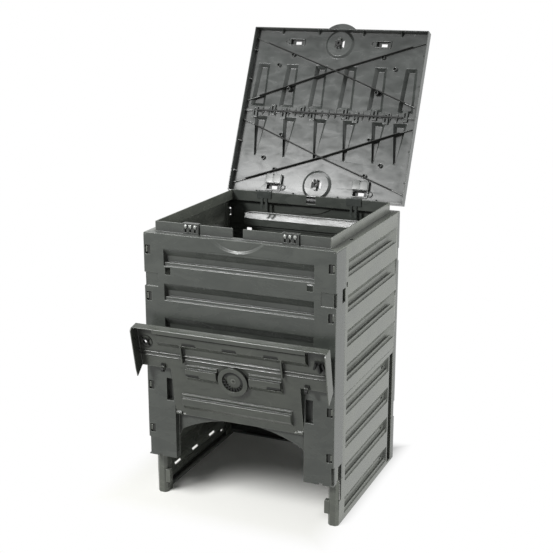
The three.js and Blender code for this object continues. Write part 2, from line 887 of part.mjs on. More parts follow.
function crossRibs(top) {
  const end = lidHalfWidth - lidSheet;
  const across = (side, y) => strut(0, lidRibCross, side * end, y, lidRibThick, lidRibTall, top);
  return [-1, 1].flatMap((side) => [
    across(side, lidRibEndMargin), across(side, lidHalfLength - lidRibEndMargin),
  ]);
}

function gussets() {
  const long = [[0, 0], [gussetLong, 0], [0, gussetTall]];
  const flip = ([a, b]) => [a, -b];
  const parts = [];
  gussetShares.map((share) => share * lidHalfLength).forEach((at) => {
    const right = long.map(([a, b]) => [lidHalfWidth - lidSheet / 2 - a, lidInside + lidSheet / 2 - b]);
    const left = long.map(([a, b]) => [lidSheet / 2 - lidHalfWidth + a, lidInside + lidSheet / 2 - b]);
    parts.push(prismY(right, at - gussetThick / 2, at + gussetThick / 2));
    parts.push(prismY(left, at - gussetThick / 2, at + gussetThick / 2));
  });
  gussetEndShares.map((share) => share * lidHalfWidth).forEach((at) => [-1, 1].forEach((side) => {
    const end = long.map(flip).map(([a, b]) => [lidHalfLength - lidSheet / 2 - a,
      lidInside + lidSheet / 2 + b]);
    parts.push(prismX(end, side * at - gussetThick / 2, side * at + gussetThick / 2));
  }));
  return parts;
}

function slotRims(slotEdge) {
  const middle = lidHalfLength - slotEdge;
  const frames = [];
  const holes = [];
  [-1, 1].forEach((side) => {
    const at = side * slotPlace;
    const a = slotWidth / 2;
    const b = slotLong / 2;
    frames.push(box(at - a, at + a, middle - b, middle + b, lidInside - slotRimTall, slotWellRise));
    const inner = slotRimThick;
    const holeA = slotHoleWidth / 2;
    const holeB = slotHoleLong / 2;
    holes.push(box(at - a + inner, at + a - inner, middle - b + inner, middle + b - inner, -lidFlange,
      slotWellRise - lidSheet));
    holes.push(box(at - holeA, at + holeA, middle - holeB, middle + holeB, -lidFlange,
      slotWellRise + beyond));
    const peg = at + slotPegOffset;
    frames.push(prismZ(circle(peg, middle, slotPegRadius, smallSteps), lidInside - slotRimTall,
      lidInside + lidSheet / 2));
    holes.push(prismZ(circle(peg, middle, slotPegRadius - bossWall, smallSteps), -lidFlange,
      lidInside));
  });
  return { frames, holes };
}

// Hoods over the rear slots. They stay clear of the hinge brackets over the whole swing.
function slotHoods() {
  const far = lidHalfLength - hoodFrom;
  return [-1, 1].map((side) => {
    const at = side * slotPlace;
    return box(at - slotWidth / 2, at + slotWidth / 2, far - hoodLong, far, lidInside - hoodTall,
      lidInside + lidSheet / 2);
  });
}

function hub() {
  const deep = lidHubDepth + lidSheet;
  const ring = (radius, z) => circle(0, hubCentre, radius, circleSteps).map(([x, y]) => [x, y, z]);
  const inner = lidHubRadius - sheet;
  return {
    bulge: joined([
      prismZ(circle(0, hubCentre, lidHubRadius, circleSteps), lidInside, 0),
      hullOf([...ring(lidHubRadius, lidInside), ...ring(lidHubRadius - lidHubSlope, -deep)]),
    ]),
    cavity: hullOf([...ring(inner, 0), ...ring(inner - lidHubSlope, -lidHubDepth)]),
    hole: moved(bowTie(), new THREE.Matrix4().makeTranslation(0, hubCentre, 0)),
  };
}

function pullLip() {
  const radius = (pullHalfWidth ** 2 + pullReach ** 2) / (2 * pullReach);
  const centre = lidHalfLength + pullReach - radius;
  const disc = prismZ(circle(0, centre, radius, pullSteps), -pullThick, 0);
  return disc.intersect(box(-radius, radius, lidHalfLength - lidSheet,
    lidHalfLength + pullReach + beyond, -pullThick, 0));
}

function bosses() {
  const tubes = [];
  const bores = [];
  const cores = [];
  bossShares.forEach(([shareX, shareY]) => [-1, 1].forEach((side) => {
    const x = shareX * lidHalfWidth;
    const y = shareY * lidHalfLength;
    tubes.push(prismZ(circle(side * x, y, bossRadius, smallSteps), lidInside - bossTall,
      lidInside + lidSheet / 2));
    bores.push(prismZ(circle(side * x, y, bossRadius - bossWall, smallSteps),
      lidInside - bossTall - beyond, lidInside));
    cores.push(prismZ(circle(side * x, y, bossRadius, smallSteps), lidInside - bossTall, wedgeDepth));
  }));
  return { tubes, bores, cores };
}

function wedges(steps, length, tip, root) {
  const bulges = [];
  const cavities = [];
  const low = lidSeamGap + lidSheet + wedgeStart;
  steps.forEach((step) => {
    const at = step * wedgePitch;
    const shape = (grow, z) => {
      const rootHalf = Math.max(root / 2 + grow, lidSheet / 2);
      const tipHalf = Math.max(tip / 2 + grow, lidSheet / 2);
      return [
        [at - rootHalf, low - grow, z], [at + rootHalf, low - grow, z],
        [at + tipHalf, length + grow, z], [at - tipHalf, length + grow, z],
      ];
    };
    bulges.push(hullOf([...shape(lidSheet, -lidSheet / 2), ...shape(lidSheet - wedgeSlope, wedgeDepth)]));
    cavities.push(hullOf([...shape(0, lidInside), ...shape(-wedgeSlope, wedgeDepth - lidSheet)]));
  });
  return { bulges, cavities };
}

// Clips reach over the seam; the other half has a clear patch for each of them
const clipPlaces = clipStepShares.map((share) => share * wedgePitch);

function seamClips() {
  return clipPlaces.map((at) => {
    const block = box(at - clipWidth / 2, at + clipWidth / 2, lidSeamGap, clipRoot,
      lidInside - clipTall, lidInside + lidSheet / 2);
    const tab = box(at - clipWidth / 2, at + clipWidth / 2, -clipReach, clipRoot,
      lidInside - clipTall, lidInside - clipTall + lidSheet);
    const slot = box(at - clipSlot / 2, at + clipSlot / 2, clipSlotMargin - clipReach,
      clipRoot - clipSlotMargin, lidInside - clipTall - beyond, lidInside);
    return block.add(tab).subtract(slot);
  });
}

function seamNotches() {
  const gap = seamNotchGap;
  return clipPlaces.map((at) => box(
    -at - clipWidth / 2 - gap, -at + clipWidth / 2 + gap, -beyond, clipReach + gap,
    lidInside - clipTall - beyond, lidInside - clipTall + lidSheet + fitGap,
  ));
}

function seamFins() {
  const finPitch = (lidHalfWidth - finEndMargin) / finSteps;
  const near = lidSeamGap + lidSheet / 2;
  const far = lidSeamGap + lidSheet + finLong;
  const crest = lidInside - clipTall + finDrop;
  const root = lidInside + lidSheet / 2;
  return Array.from({ length: 2 * finSteps + 1 }, (_, i) => {
    const at = (i - finSteps) * finPitch;
    return hullOf([-1, 1].flatMap((side) => [
      [at + side * finThick / 2, near, crest], [at + side * finThick / 2, near, root],
      [at + side * finTip / 2, far, lidInside - finTip], [at + side * finTip / 2, far, root],
    ]));
  });
}

// The wedges are hollowed from below; ribs and bosses that cross them keep their full height
function lidHalf(wedgeSet, slotEdge, extras) {
  const slots = slotRims(slotEdge);
  const centre = hub();
  const pegs = bosses();
  const keep = [...crossRibs(wedgeDepth), ...pegs.cores];
  const whole = joined([
    ...tray(), ...crossRibs(lidInside + lidSheet / 2), ...gussets(), ...slots.frames, centre.bulge,
    pullLip(), ...pegs.tubes, ...wedgeSet.bulges, ...seamFins(), ...extras,
  ]);
  const hollows = cutBy(joined(wedgeSet.cavities), keep);
  const cleared = cutBy(whole, [
    hollows, centre.cavity, ...seamNotches(), ...slots.holes, centre.hole, ...pegs.bores,
  ]);
  return cleared.add(joined(seamClips())).subtract(hollows);
}

function lidKnuckles() {
  const half = rimClipWidth / 2 - earThick - earGap;
  const at = lidHalfLength + hingeY;
  const cuts = [];
  const barrels = [];
  const bores = [];
  [-1, 1].forEach((side) => {
    const x = side * rimClipPlace;
    barrels.push(prismX(circle(at, -hingeDrop, hingeRadius, smallSteps), x - half, x + half));
    bores.push(prismX(circle(at, -hingeDrop, hingePinRadius + fitGap, smallSteps), x - half - beyond,
      x + half + beyond));
    [-1, 1].forEach((end) => {
      const a = x + end * half;
      const b = x + end * (rimClipWidth / 2 + earGap);
      cuts.push(box(Math.min(a, b), Math.max(a, b), lidHalfLength - earCutDepth, lidHalfLength + beyond,
        -lidFlange - beyond, earCutTall - lidFlange));
    });
  });
  return { cuts, barrels, bores };
}

const toFrontHalf = new THREE.Matrix4().set(-1, 0, 0, 0, 0, -1, 0, lidSeam, 0, 0, 1, lidTop, 0, 0, 0,
  1);
const toRearHalf = new THREE.Matrix4().makeTranslation(0, lidSeam, lidTop);
const hingeAxisY = lidRear + hingeY;
const hingeAxisZ = lidTop - hingeDrop;
const openLid = turnedAboutX(-lidOpenAngle, hingeAxisY, hingeAxisZ);

function lidFrontHalf() {
  const half = lidHalf(wedges(wedgeFrontShares, wedgeLengthFront, wedgeTipFront, wedgeRootFront),
    slotEdgeFront, []);
  return moved(moved(half, toFrontHalf), openLid);
}

function lidRearHalf() {
  const knuckles = lidKnuckles();
  const half = lidHalf(wedges(wedgeRearShares, wedgeLengthRear, wedgeTipRear, wedgeRootRear),
    slotEdgeRear, slotHoods());
  const whole = cutBy(cutBy(half, knuckles.cuts).add(joined(knuckles.barrels)), knuckles.bores);
  return moved(moved(whole, toRearHalf), openLid);
}

function lidKnob(toHalf) {
  const seat = new THREE.Matrix4().makeTranslation(0, hubCentre, -lidHubDepth);
  return moved(moved(moved(knob(lidSheet, true), seat), toHalf), openLid);
}

// Clips that sit astride the rim, and the rear ones with the ears of the hinge. Wall frame again.
const saddleTop = rimTop + fitGap + rimClipTop;

function saddle(at) {
  const a = at - rimClipWidth / 2;
  const b = at + rimClipWidth / 2;
  const front = rimOuter - fitGap;
  const back = rimInner + fitGap;
  const whole = joined([
    box(a, b, front - rimClipOuter, front, bodyHeight + fitGap, saddleTop),
    box(a, b, front - rimClipOuter, back + sheet, rimTop + fitGap, saddleTop),
    box(a, b, back, back + sheet, rimTop - rimClipLegDepth, saddleTop),
  ]);
  const low = bodyHeight + fitGap + eyeRise;
  const eye = (x, z, tall) => box(x - hookEyeWidth / 2, x + hookEyeWidth / 2,
    front - rimClipOuter - beyond, front + fitGap / 2, z, z + tall);
  const eyes = hookEyeSteps.flatMap((step) => {
    const x = at + step * hookEyePitch;
    return [eye(x, low, hookEyeTall), eye(x, low + hookEyeSpacing, hookEyeHigh)];
  });
  return cutBy(whole, eyes);
}

function hingeBracket(at) {
  const y = -lidRearOverhang - hingeY;
  const z = hingeAxisZ;
  const ground = bodyHeight + fitGap;
  const lean = THREE.MathUtils.degToRad(lidOpenAngle - 90);
  const stopAt = (out) => {
    const edgeY = -lidRearOverhang - hingeY - heelReach - sheet;
    const corner = new THREE.Vector2(-lidRearOverhang, lidTop);
    const rest = corner.sub(new THREE.Vector2(y, z)).rotateAround(new THREE.Vector2(),
      Math.PI / 2 + lean);
    const level = rest.y + z + (out - rest.x - y) * Math.tan(lean);
    return [Math.max(out, edgeY), level - stopGap];
  };
  const shape = [
    [rimOuter - fitGap - rimClipOuter, ground], [rimOuter - fitGap - rimClipOuter, ground + earRise],
    [y + hingeRadius, z + sheet / 2], stopAt(y - hingeRadius), stopAt(y - heelReach),
    [y - heelReach, stopAt(y - heelReach)[1] - heelTall], [-sheet, ground],
  ];
  const ears = [-1, 1].map((side) => {
    const a = at + side * (rimClipWidth / 2);
    const b = at + side * (rimClipWidth / 2 - earThick);
    const left = Math.min(a, b);
    const right = Math.max(a, b);
    return joined([
      prismX(shape, left, right),
      prismX(circle(y, z, hingeRadius, smallSteps), left, right),
    ]);
  });
  const base = box(at - rimClipWidth / 2, at + rimClipWidth / 2, 0, rimOuter - fitGap - sheet / 2,
    ground, ground + earFoot);
  const bore = prismX(circle(y, z, hingePinRadius + fitGap, smallSteps), at - rimClipWidth,
    at + rimClipWidth);
  const legIn = rimInner + fitGap;
  const legs = [-1, 1].map((side) => {
    const x = at + side * bracketLegPlace;
    return box(x - bracketLegWidth / 2, x + bracketLegWidth / 2, legIn, legIn + sheet,
      rimTop - bracketLegDrop, rimTop);
  });
  return moved(joined([saddle(at), base, ...ears, ...legs]).subtract(bore), toBack);
}

function hingePin(at) {
  const half = rimClipWidth / 2;
  return prismX(circle(hingeAxisY, hingeAxisZ, hingePinRadius, smallSteps), at - half, at + half);
}

// Door, built closed in the doorway and swung up about its axis
const doorFace = doorAxisDepth - sheet;
const doorEdge = halfWidth + doorStripOverhang;
const doorHubHeight = grooveTop(doorGrooves[1]) - doorHubDrop;
const swingDoor = turnedAboutX(-doorOpenAngle, doorAxisDepth, doorAxisHeight);

function doorFlange(side) {
  const back = doorAxisDepth + doorFlangeDepth;
  const shape = [
    [doorFace, doorBottomGap], [back - doorFlangeCorner, doorBottomGap],
      [back, doorBottomGap + doorFlangeCorner],
    [back, stripTop - doorFlangeCorner], [back - doorFlangeCorner / 2, stripTop + doorFlangeTip],
      [doorFace, stripTop],
  ];
  const inner = halfWidth + fitGap;
  return side > 0 ? prismX(shape, inner, doorEdge) : prismX(shape, -doorEdge, -inner);
}

function doorPanel() {
  const inner = doorAxisDepth;
  const [topStep, midStep, lowStep] = doorGrooves;
  const topHalf = doorHalfWidth - doorGrooveMarginTop;
  const midHalf = doorHalfWidth - doorGrooveMarginMid;
  const lowHalf = doorEdge - doorGrooveMarginLow;
  const hubEdge = doorHubRadius + doorHubGrooveGap;
  const press = (from, to, step) => groove(from, to, grooveTop(step), doorGrooveDepth, grooveEnd,
    grooveEnd, doorFace);
  const grooves = [
    press(-topHalf, topHalf, topStep),
    press(-midHalf, -hubEdge, midStep),
    press(hubEdge, midHalf, midStep),
    press(-lowHalf, lowHalf, lowStep),
  ];
  const hubDeep = doorFace + doorHubDepth;
  const hubDisc = (radius, from, to) => prismY(circle(0, doorHubHeight, radius, circleSteps), from, to);
  const hubPlate = hubDisc(doorHubRadius, doorFace, hubDeep + sheet);
  const hubDish = hubDisc(doorHubDish, inner, hubDeep + sheet + beyond);
  const hubTrough = hubDisc(doorHubRadius - sheet, doorFace - beyond, hubDeep)
    .subtract(hubDisc(doorHubDish + sheet, doorFace - beyond, hubDeep + sheet));
  const bandTop = grooveTop(midStep) - grooveTall;
  const bandMiddle = (bandTop + grooveTop(lowStep)) / 2;
  const ribs = [-1, 1].map((side) => {
    const z = bandMiddle + side * doorRibSpacing / 2;
    return box(-doorEdge, doorEdge, inner - sheet / 2, inner + doorRibTall, z - doorRibThick / 2,
      z + doorRibThick / 2);
  });
  const stands = [-1, 1].map((side) => {
    const x = side * (doorHalfWidth - doorStandInset);
    return box(x - doorRibThick, x + doorRibThick, inner - sheet / 2, inner + doorStandTall,
      stripTop - doorStandFrom - doorStandLength, stripTop - doorStandFrom);
  });
  const hooks = [-1, 1].map((side) => {
    const x = side * (doorHalfWidth + doorHookOffset);
    return box(x - doorHookWidth / 2, x + doorHookWidth / 2, inner - sheet / 2, inner + doorHookDepth,
      stripTop - doorHookRoot, stripTop);
  });
  const hookTips = [-1, 1].map((side) => {
    const x = side * (doorHalfWidth + doorHookOffset);
    return box(x - doorHookWidth / 2, x + doorHookWidth / 2, inner, inner + doorHookDepth,
      stripTop - doorHookRoot, postBottom + doorHookRise);
  });
  const knuckleIn = doorHalfWidth - pivotKnuckleGap - pivotKnuckleLength;
  const knuckles = [-1, 1].map((side) => prismX(
    circle(doorAxisDepth, doorAxisHeight, pivotKnuckleRadius, smallSteps),
    side > 0 ? knuckleIn : -doorHalfWidth + pivotKnuckleGap,
    side > 0 ? doorHalfWidth - pivotKnuckleGap : -knuckleIn,
  ));
  const bores = [-1, 1].map((side) => prismX(
    circle(doorAxisDepth, doorAxisHeight, pivotPinRadius + fitGap, smallSteps),
    side > 0 ? knuckleIn - beyond : -doorHalfWidth - beyond,
    side > 0 ? doorHalfWidth + beyond : beyond - knuckleIn,
  ));
  const lipIn = inner + doorLipDepth;
  const whole = joined([
    box(-doorHalfWidth, doorHalfWidth, doorFace, inner, stripTop - sheet, doorAxisHeight + doorTail),
    box(-doorEdge, doorEdge, doorFace, inner, doorBottomGap, stripTop),
    box(-doorEdge, doorEdge, doorFace, lipIn, doorBottomGap, doorBottomGap + sheet),
    box(-doorHubGrooveGap - lowHalf, lowHalf + doorHubGrooveGap, lipIn - sheet, lipIn, doorBottomGap,
      doorBottomGap + doorLipReturn),
    doorFlange(-1), doorFlange(1), hubPlate, ...grooves.map((g) => g.bulge), ...ribs, ...stands,
      ...hooks, ...hookTips,
    ...knuckles,
  ]);
  const toHub = new THREE.Matrix4().set(1, 0, 0, 0, 0, 0, -1, doorFace, 0, 1, 0, doorHubHeight, 0, 0, 0,
    1);
  const ventSpacing = doorVentShare * doorHalfWidth;
  const ventPlaces = [-ventSpacing, 0, ventSpacing];
  const ventSet = (places, step) => places.map((at) => {
    const z = grooveTop(step) - grooveSlope;
    return box(at - doorVentLength / 2, at + doorVentLength / 2, doorFace - beyond,
      doorFace + doorGrooveDepth + beyond,
      z, z + doorVentTall);
  });
  const door = cutBy(whole, [
    ...grooves.map((g) => g.cavity),
    hubDish,
    hubTrough,
    moved(bowTie(), toHub),
    ...ventSet(ventPlaces, lowStep),
    ...ventSet([-ventSpacing, ventSpacing], midStep),
    ...bores,
  ]);
  return moved(door, swingDoor);
}

function doorKnob() {
  const seat = new THREE.Matrix4().set(1, 0, 0, 0, 0, 0, -1, doorFace, 0, 1, 0, doorHubHeight, 0, 0, 0,
    1);
  return moved(moved(knob(sheet, false), seat), swingDoor);
}

function pivotPin(side) {
  const from = doorHalfWidth - pivotKnuckleLength + pivotKnuckleGap;
  const points = circle(doorAxisDepth, doorAxisHeight, pivotPinRadius, smallSteps);
  return side > 0 ? prismX(points, from, from + pivotPinLength) : prismX(points, -from - pivotPinLength,
    -from);
}

// Moulded plastic colours
const bodyColour = 0x3f423f;
const sideColour = 0x4a4c49;
const lidColour = 0x444745;
const doorColour = 0x41443f;
const clipColour = 0x2b2d2b;
const pinColour = 0x303231;
const satin = 0.5;
const dull = 0.62;

const upper = upperSide();
const lower = lowerSide();

place('front_wall', frontWall(), bodyColour, satin);
place('back_wall', backWall(), bodyColour, satin);
place('side_wall_right_upper', moved(upper, toRight), sideColour, satin);
place('side_wall_right_lower', moved(lower, toRight), sideColour, satin);
place('side_wall_left_upper', moved(mirrored(upper), toLeft), sideColour, satin);
place('side_wall_left_lower', moved(mirrored(lower), toLeft), sideColour, satin);
place('rim_clip_left', saddle(-rimClipPlace), clipColour, dull);
place('rim_clip_right', saddle(rimClipPlace), clipColour, dull);
place('hinge_bracket_left', hingeBracket(rimClipPlace), clipColour, dull);
place('hinge_bracket_right', hingeBracket(-rimClipPlace), clipColour, dull);
place('hinge_pin_left', hingePin(-rimClipPlace), pinColour, satin);
place('hinge_pin_right', hingePin(rimClipPlace), pinColour, satin);
place('door_panel', doorPanel(), doorColour, satin);
place('door_knob', doorKnob(), clipColour, satin);
place('door_pivot_pin_left', pivotPin(-1), pinColour, satin);
place('door_pivot_pin_right', pivotPin(1), pinColour, satin);
place('lid_front_half', lidFrontHalf(), lidColour, satin);
place('lid_rear_half', lidRearHalf(), lidColour, satin);
place('lid_knob_front', lidKnob(toFrontHalf), clipColour, satin);
place('lid_knob_rear', lidKnob(toRearHalf), clipColour, satin);

// The part's origin is the middle of its footprint on the ground
const reach = new THREE.Box3().setFromObject(group);
const shiftY = -(reach.min.y + reach.max.y) / 2;
group.children.forEach((mesh) => mesh.geometry.translate(0, shiftY, 0));

export default group;
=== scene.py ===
# %% [markdown]
# # A garden compost bin of moulded panels
# The bin is a box of snapped-together wall panels, open below. Its lid of two halves leans back on its
# hinge, and a removal door is swung up at the front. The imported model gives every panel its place, so
# this lesson is about surfaces: soft moulded edges, the grain of recycled plastic, and the light that
# shows them.

# %% Load the frame and note its size
import math

import bpy
from mathutils import Matrix, Vector


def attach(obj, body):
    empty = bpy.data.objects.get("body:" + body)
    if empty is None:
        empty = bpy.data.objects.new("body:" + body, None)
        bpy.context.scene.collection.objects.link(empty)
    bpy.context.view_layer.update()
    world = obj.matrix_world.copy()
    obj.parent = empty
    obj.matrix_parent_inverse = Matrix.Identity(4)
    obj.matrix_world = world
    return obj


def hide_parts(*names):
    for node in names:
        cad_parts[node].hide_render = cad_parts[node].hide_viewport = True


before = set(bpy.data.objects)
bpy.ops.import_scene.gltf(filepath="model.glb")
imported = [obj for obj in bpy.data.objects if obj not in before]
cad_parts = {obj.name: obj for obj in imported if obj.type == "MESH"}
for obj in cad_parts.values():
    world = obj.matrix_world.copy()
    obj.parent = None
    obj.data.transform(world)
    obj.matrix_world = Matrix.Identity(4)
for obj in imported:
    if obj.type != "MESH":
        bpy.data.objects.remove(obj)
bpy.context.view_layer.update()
MM = 0.001
SIDES = ((-1, "left"), (1, "right"))

# %% [markdown]
# ## Selecting one thing at a time
# Every operator works on what is selected, and the import leaves its nodes selected. One helper clears
# the selection, and goes back to object mode if something was being edited. The other picks a single
# piece.

# %% Select nothing, or one piece
def pick_none():
    if bpy.context.object and bpy.context.object.mode != "OBJECT":
        bpy.ops.object.mode_set(mode="OBJECT")
    bpy.ops.object.select_all(action="DESELECT")


def pick(piece):
    pick_none()
    piece.select_set(True)
    bpy.context.view_layer.objects.active = piece


print("selected after the import:", len(bpy.context.selected_objects))

# %% [markdown]
# ## Colours
# The colours of this lesson are written as they look on a screen, and a shader works in linear light. The
# sRGB curve between the two is straight near black and a power of 2.4 above it.

# %% Turn a hex colour linear
def linear(code):
    """An sRGB hex colour as the linear colour that a shader takes."""
    shares = [int(code[i:i + 2], 16) / 255 for i in (1, 3, 5)]
    return tuple(c / 12.92 if c <= 0.04045 else ((c + 0.055) / 1.055) ** 2.4 for c in shares) + (1.0,)


print("charcoal in linear light:", [round(c, 4) for c in linear("#3b3e3b")])

# %% [markdown]
# ## One function for every shader node
# A material is a small graph. The first helper empties the graph that a new material or world comes with.
# The second adds a node, sets what is named by property or socket, and links what is given as another
# node's output, so a material reads from top to bottom. A name such as i1 stands for a socket's number,
# on nodes whose sockets share a name.

# %% Empty a graph, and add a node
def empty_tree(owner):
    owner.use_nodes = True
    owner.node_tree.nodes.clear()
    return owner.node_tree


def add(tree, kind, settings=None, **inputs):
    node = tree.nodes.new(kind)
    for name, value in (settings or {}).items():
        setattr(node, name, value)
    for name, value in inputs.items():
        numbered = name[0] == "i" and name[1:].isdigit()
        socket = node.inputs[int(name[1:]) if numbered else name.replace("_", " ")]
        if isinstance(value, bpy.types.NodeSocket):
            tree.links.new(value, socket)
        else:
            socket.default_value = value
    return node


# %% [markdown]
# ## The plastic
# The panels are recycled polypropylene, coloured right through with carbon black and moulded in a tool
# with a fine spark-eroded grain. That gives a dark grey with a slightly green cast, a satin gloss, and a
# soft mottling where the melt flowed. Flow marks are 30 to 80 mm long and lie level, and thin dust sits
# on the plastic in patches of a centimetre. The real grain is about 0.4 mm, too fine to show from 3.5 m,
# so it is drawn at 1.2 to 2.2 mm.

# %% Mottled and dusty pigment
MOTTLE_FROM, MOTTLE_TO, MOTTLE_MOST = 0.32, 0.72, 0.75
DUST_MM, DUST_FROM, DUST_TO, DUST_MOST = 9, 0.55, 0.78, 0.35


def pigment(tree, place, flow, shade, pale):
    """The clean plastic: two greys mixed by the flow of the melt, under patches of dust."""
    specks = add(tree, "ShaderNodeTexNoise", Vector=place, Scale=1 / (DUST_MM * MM), Detail=3.0,
                 Roughness=0.7)
    mottle = add(tree, "ShaderNodeMapRange", Value=flow, i1=MOTTLE_FROM, i2=MOTTLE_TO, i3=0.0,
                 i4=MOTTLE_MOST)
    dust = add(tree, "ShaderNodeMapRange", Value=specks.outputs["Fac"], i1=DUST_FROM, i2=DUST_TO, i3=0.0,
               i4=DUST_MOST)
    toned = add(tree, "ShaderNodeMix", {"data_type": "RGBA"}, i0=mottle.outputs["Result"],
                i6=linear(shade), i7=linear(pale))
    dusted = add(tree, "ShaderNodeMix", {"data_type": "RGBA"}, i0=dust.outputs["Result"],
                 i6=toned.outputs[2], i7=linear(pale))
    return dusted.outputs[2]


# %% [markdown]
# ## Painted shade in the corners, painted highlights on the edges
# Where a panel folds in, the colour is painted down to near black as painted shade, and the gloss goes.
# An ambient occlusion node finds such corners by how open a place is, and its reach of 22 to 42 mm is
# coarser than real dirt, so that it reads from 3.5 m. Turned inside out, the same node finds the outer
# edges within 1.5 mm, where the colour is painted paler as a painted highlight. A painted map would do
# both too, but it would have to be drawn for each panel. Grain and flow also lift the surface by
# fractions of a millimetre.

# %% Moulded plastic
FLOW_STRETCH = (1.0, 1.0, 2.2)
PAINTED_SHADE, PAINTED_SHADE_FROM, PAINTED_SHADE_TO, PAINTED_SHADE_MOST, PAINTED_SHADE_DULLS, PAINTED_SHADE_RAYS = "#141513", 0.92, 0.42, 0.92, 0.4, 6
PAINTED_HIGHLIGHT, EDGE_MM, EDGE_FROM, EDGE_TO, EDGE_RAYS = "#8f928b", 1.5, 0.95, 0.5, 4
GLOSS_FROM, GLOSS_TO, GLOSS_SPREAD = 0.3, 0.75, 0.12
GRAIN_TALL_MM, WAVE_TALL_MM, WAVE_STRENGTH = 0.25, 1.0, 0.1


def moulded(name, shade, pale, roughness, grain_depth, flow_mm, grain_mm=1.6, shade_reach_mm=22, edge_highlight=0.5,
            ior=1.49):
    material = bpy.data.materials.new(name)
    tree = empty_tree(material)
    place = add(tree, "ShaderNodeTexCoord").outputs["Object"]
    level = add(tree, "ShaderNodeMapping", Vector=place, Scale=FLOW_STRETCH)
    flow = add(tree, "ShaderNodeTexNoise", Vector=level.outputs["Vector"], Scale=1 / (flow_mm * MM),
               Detail=4.0, Roughness=0.55, Distortion=0.6).outputs["Fac"]
    grain = add(tree, "ShaderNodeTexNoise", Vector=place, Scale=1 / (grain_mm * MM), Detail=2.0,
                Roughness=0.5)

    # Painted shade: the colour sinks to near black, and the gloss dulls, where the surface is hemmed in.
    open_air = add(tree, "ShaderNodeAmbientOcclusion", {"samples": PAINTED_SHADE_RAYS, "only_local": True},
                   Distance=shade_reach_mm * MM)
    painted_shade_mask = add(tree, "ShaderNodeMapRange", Value=open_air.outputs["AO"], i1=PAINTED_SHADE_FROM, i2=PAINTED_SHADE_TO,
                i3=0.0, i4=PAINTED_SHADE_MOST).outputs["Result"]
    painted_shade_colour = add(tree, "ShaderNodeMix", {"data_type": "RGBA"}, i0=painted_shade_mask,
                 i6=pigment(tree, place, flow, shade, pale), i7=linear(PAINTED_SHADE))

    # Painted highlight: the colour turns pale within 1.5 mm of an outer edge, where rounded edges catch
    # light.
    solid = add(tree, "ShaderNodeAmbientOcclusion",
                {"samples": EDGE_RAYS, "only_local": True, "inside": True}, Distance=EDGE_MM * MM)
    edge = add(tree, "ShaderNodeMapRange", Value=solid.outputs["AO"], i1=EDGE_FROM, i2=EDGE_TO, i3=0.0,
               i4=edge_highlight)
    painted_highlight_colour = add(tree, "ShaderNodeMix", {"data_type": "RGBA"}, i0=edge.outputs["Result"],
                 i6=painted_shade_colour.outputs[2], i7=linear(PAINTED_HIGHLIGHT))

    half = GLOSS_SPREAD / 2
    gloss = add(tree, "ShaderNodeMapRange", Value=flow, i1=GLOSS_FROM, i2=GLOSS_TO, i3=roughness - half,
                i4=roughness + half)
    dulled = add(tree, "ShaderNodeMath", {"operation": "MULTIPLY_ADD"}, i0=painted_shade_mask, i1=PAINTED_SHADE_DULLS,
                 i2=gloss.outputs["Result"])
    bump = add(tree, "ShaderNodeBump", Height=grain.outputs["Fac"], Strength=grain_depth,
               Distance=GRAIN_TALL_MM * MM)
    wave = add(tree, "ShaderNodeBump", Height=flow, Normal=bump.outputs["Normal"], Strength=WAVE_STRENGTH,
               Distance=WAVE_TALL_MM * MM)
    shader = add(tree, "ShaderNodeBsdfPrincipled", Base_Color=painted_highlight_colour.outputs[2],
                 Roughness=dulled.outputs[0], Normal=wave.outputs["Normal"], IOR=ior)
    add(tree, "ShaderNodeOutputMaterial", Surface=shader.outputs["BSDF"])
    print("material", name, "with", len(tree.nodes), "nodes")
    return material


# %% [markdown]
# ## Four polypropylene plastics
# The photo shows four greys. The side walls are painted paler as painted light, and all four differ in
# gloss, since the inner half of a mould is polished and its outer half is grained. A lower roughness
# makes tighter highlights, a deeper grain breaks them up.

# %% Panel plastics
# Walls: a satin mid grey, the calm ground of the whole bin.
wall_plastic = moulded("polypropylene_wall_moulded", "#333633", "#40433f", 0.28, 0.12, 80)
# Sides: paler as painted light, so that the lit right side stands out from the front.
side_painted_light_plastic = moulded("polypropylene_side_painted_light", "#454843", "#53564f", 0.26, 0.06, 70)
# Lid: smooth inside, so it mirrors the key lamp beside its lower hub, with wider painted shade and faint
# painted edge highlights.
lid_plastic = moulded("polypropylene_lid_moulded", "#303331", "#404341", 0.25, 0.08, 55, grain_mm=2.2,
                      shade_reach_mm=28, edge_highlight=0.12)
# Door: glossy with deep painted shade, so its ledges shine and its recesses sink.
door_plastic = moulded("polypropylene_door_moulded", "#333631", "#41443e", 0.24, 0.06, 60, shade_reach_mm=42)

# %% [markdown]
# ## Nylon for the small fittings
# Clips, knobs, pins and seals are moulded from nylon, which is harder than polypropylene and takes a
# finer grain. It is near black, and a pale copy paints the shine of the rim lugs as painted highlight.

# %% Fitting plastics
# Fittings: near black with a short gloss, so clips and knobs read as parts of their own.
fitting_plastic = moulded("nylon_fitting_moulded", "#232523", "#2d2f2d", 0.34, 0.2, 30, grain_mm=1.2)
# Matt black: the colour of seals and fittings, and painted shade on rib crests, window sheets and vent
# strips.
black_nylon_and_painted_shade = moulded("nylon_black_and_painted_shade", "#0d0e0d", "#161716", 0.62, 0.1, 30, grain_mm=1.2, edge_highlight=0.05,
                      ior=1.38)
# Painted highlight: a pale colour paints the little glints of the lugs on the rim.
painted_glint_nylon = moulded("nylon_painted_glint", "#7b7e7a", "#8e918d", 0.16, 0.05, 30, grain_mm=1.2, edge_highlight=0.2)
# Pins: dark and even, so they stay in the shade of their brackets.
pin_plastic = moulded("nylon_pin_moulded", "#2a2c2a", "#333533", 0.38, 0.2, 30, grain_mm=1.2)

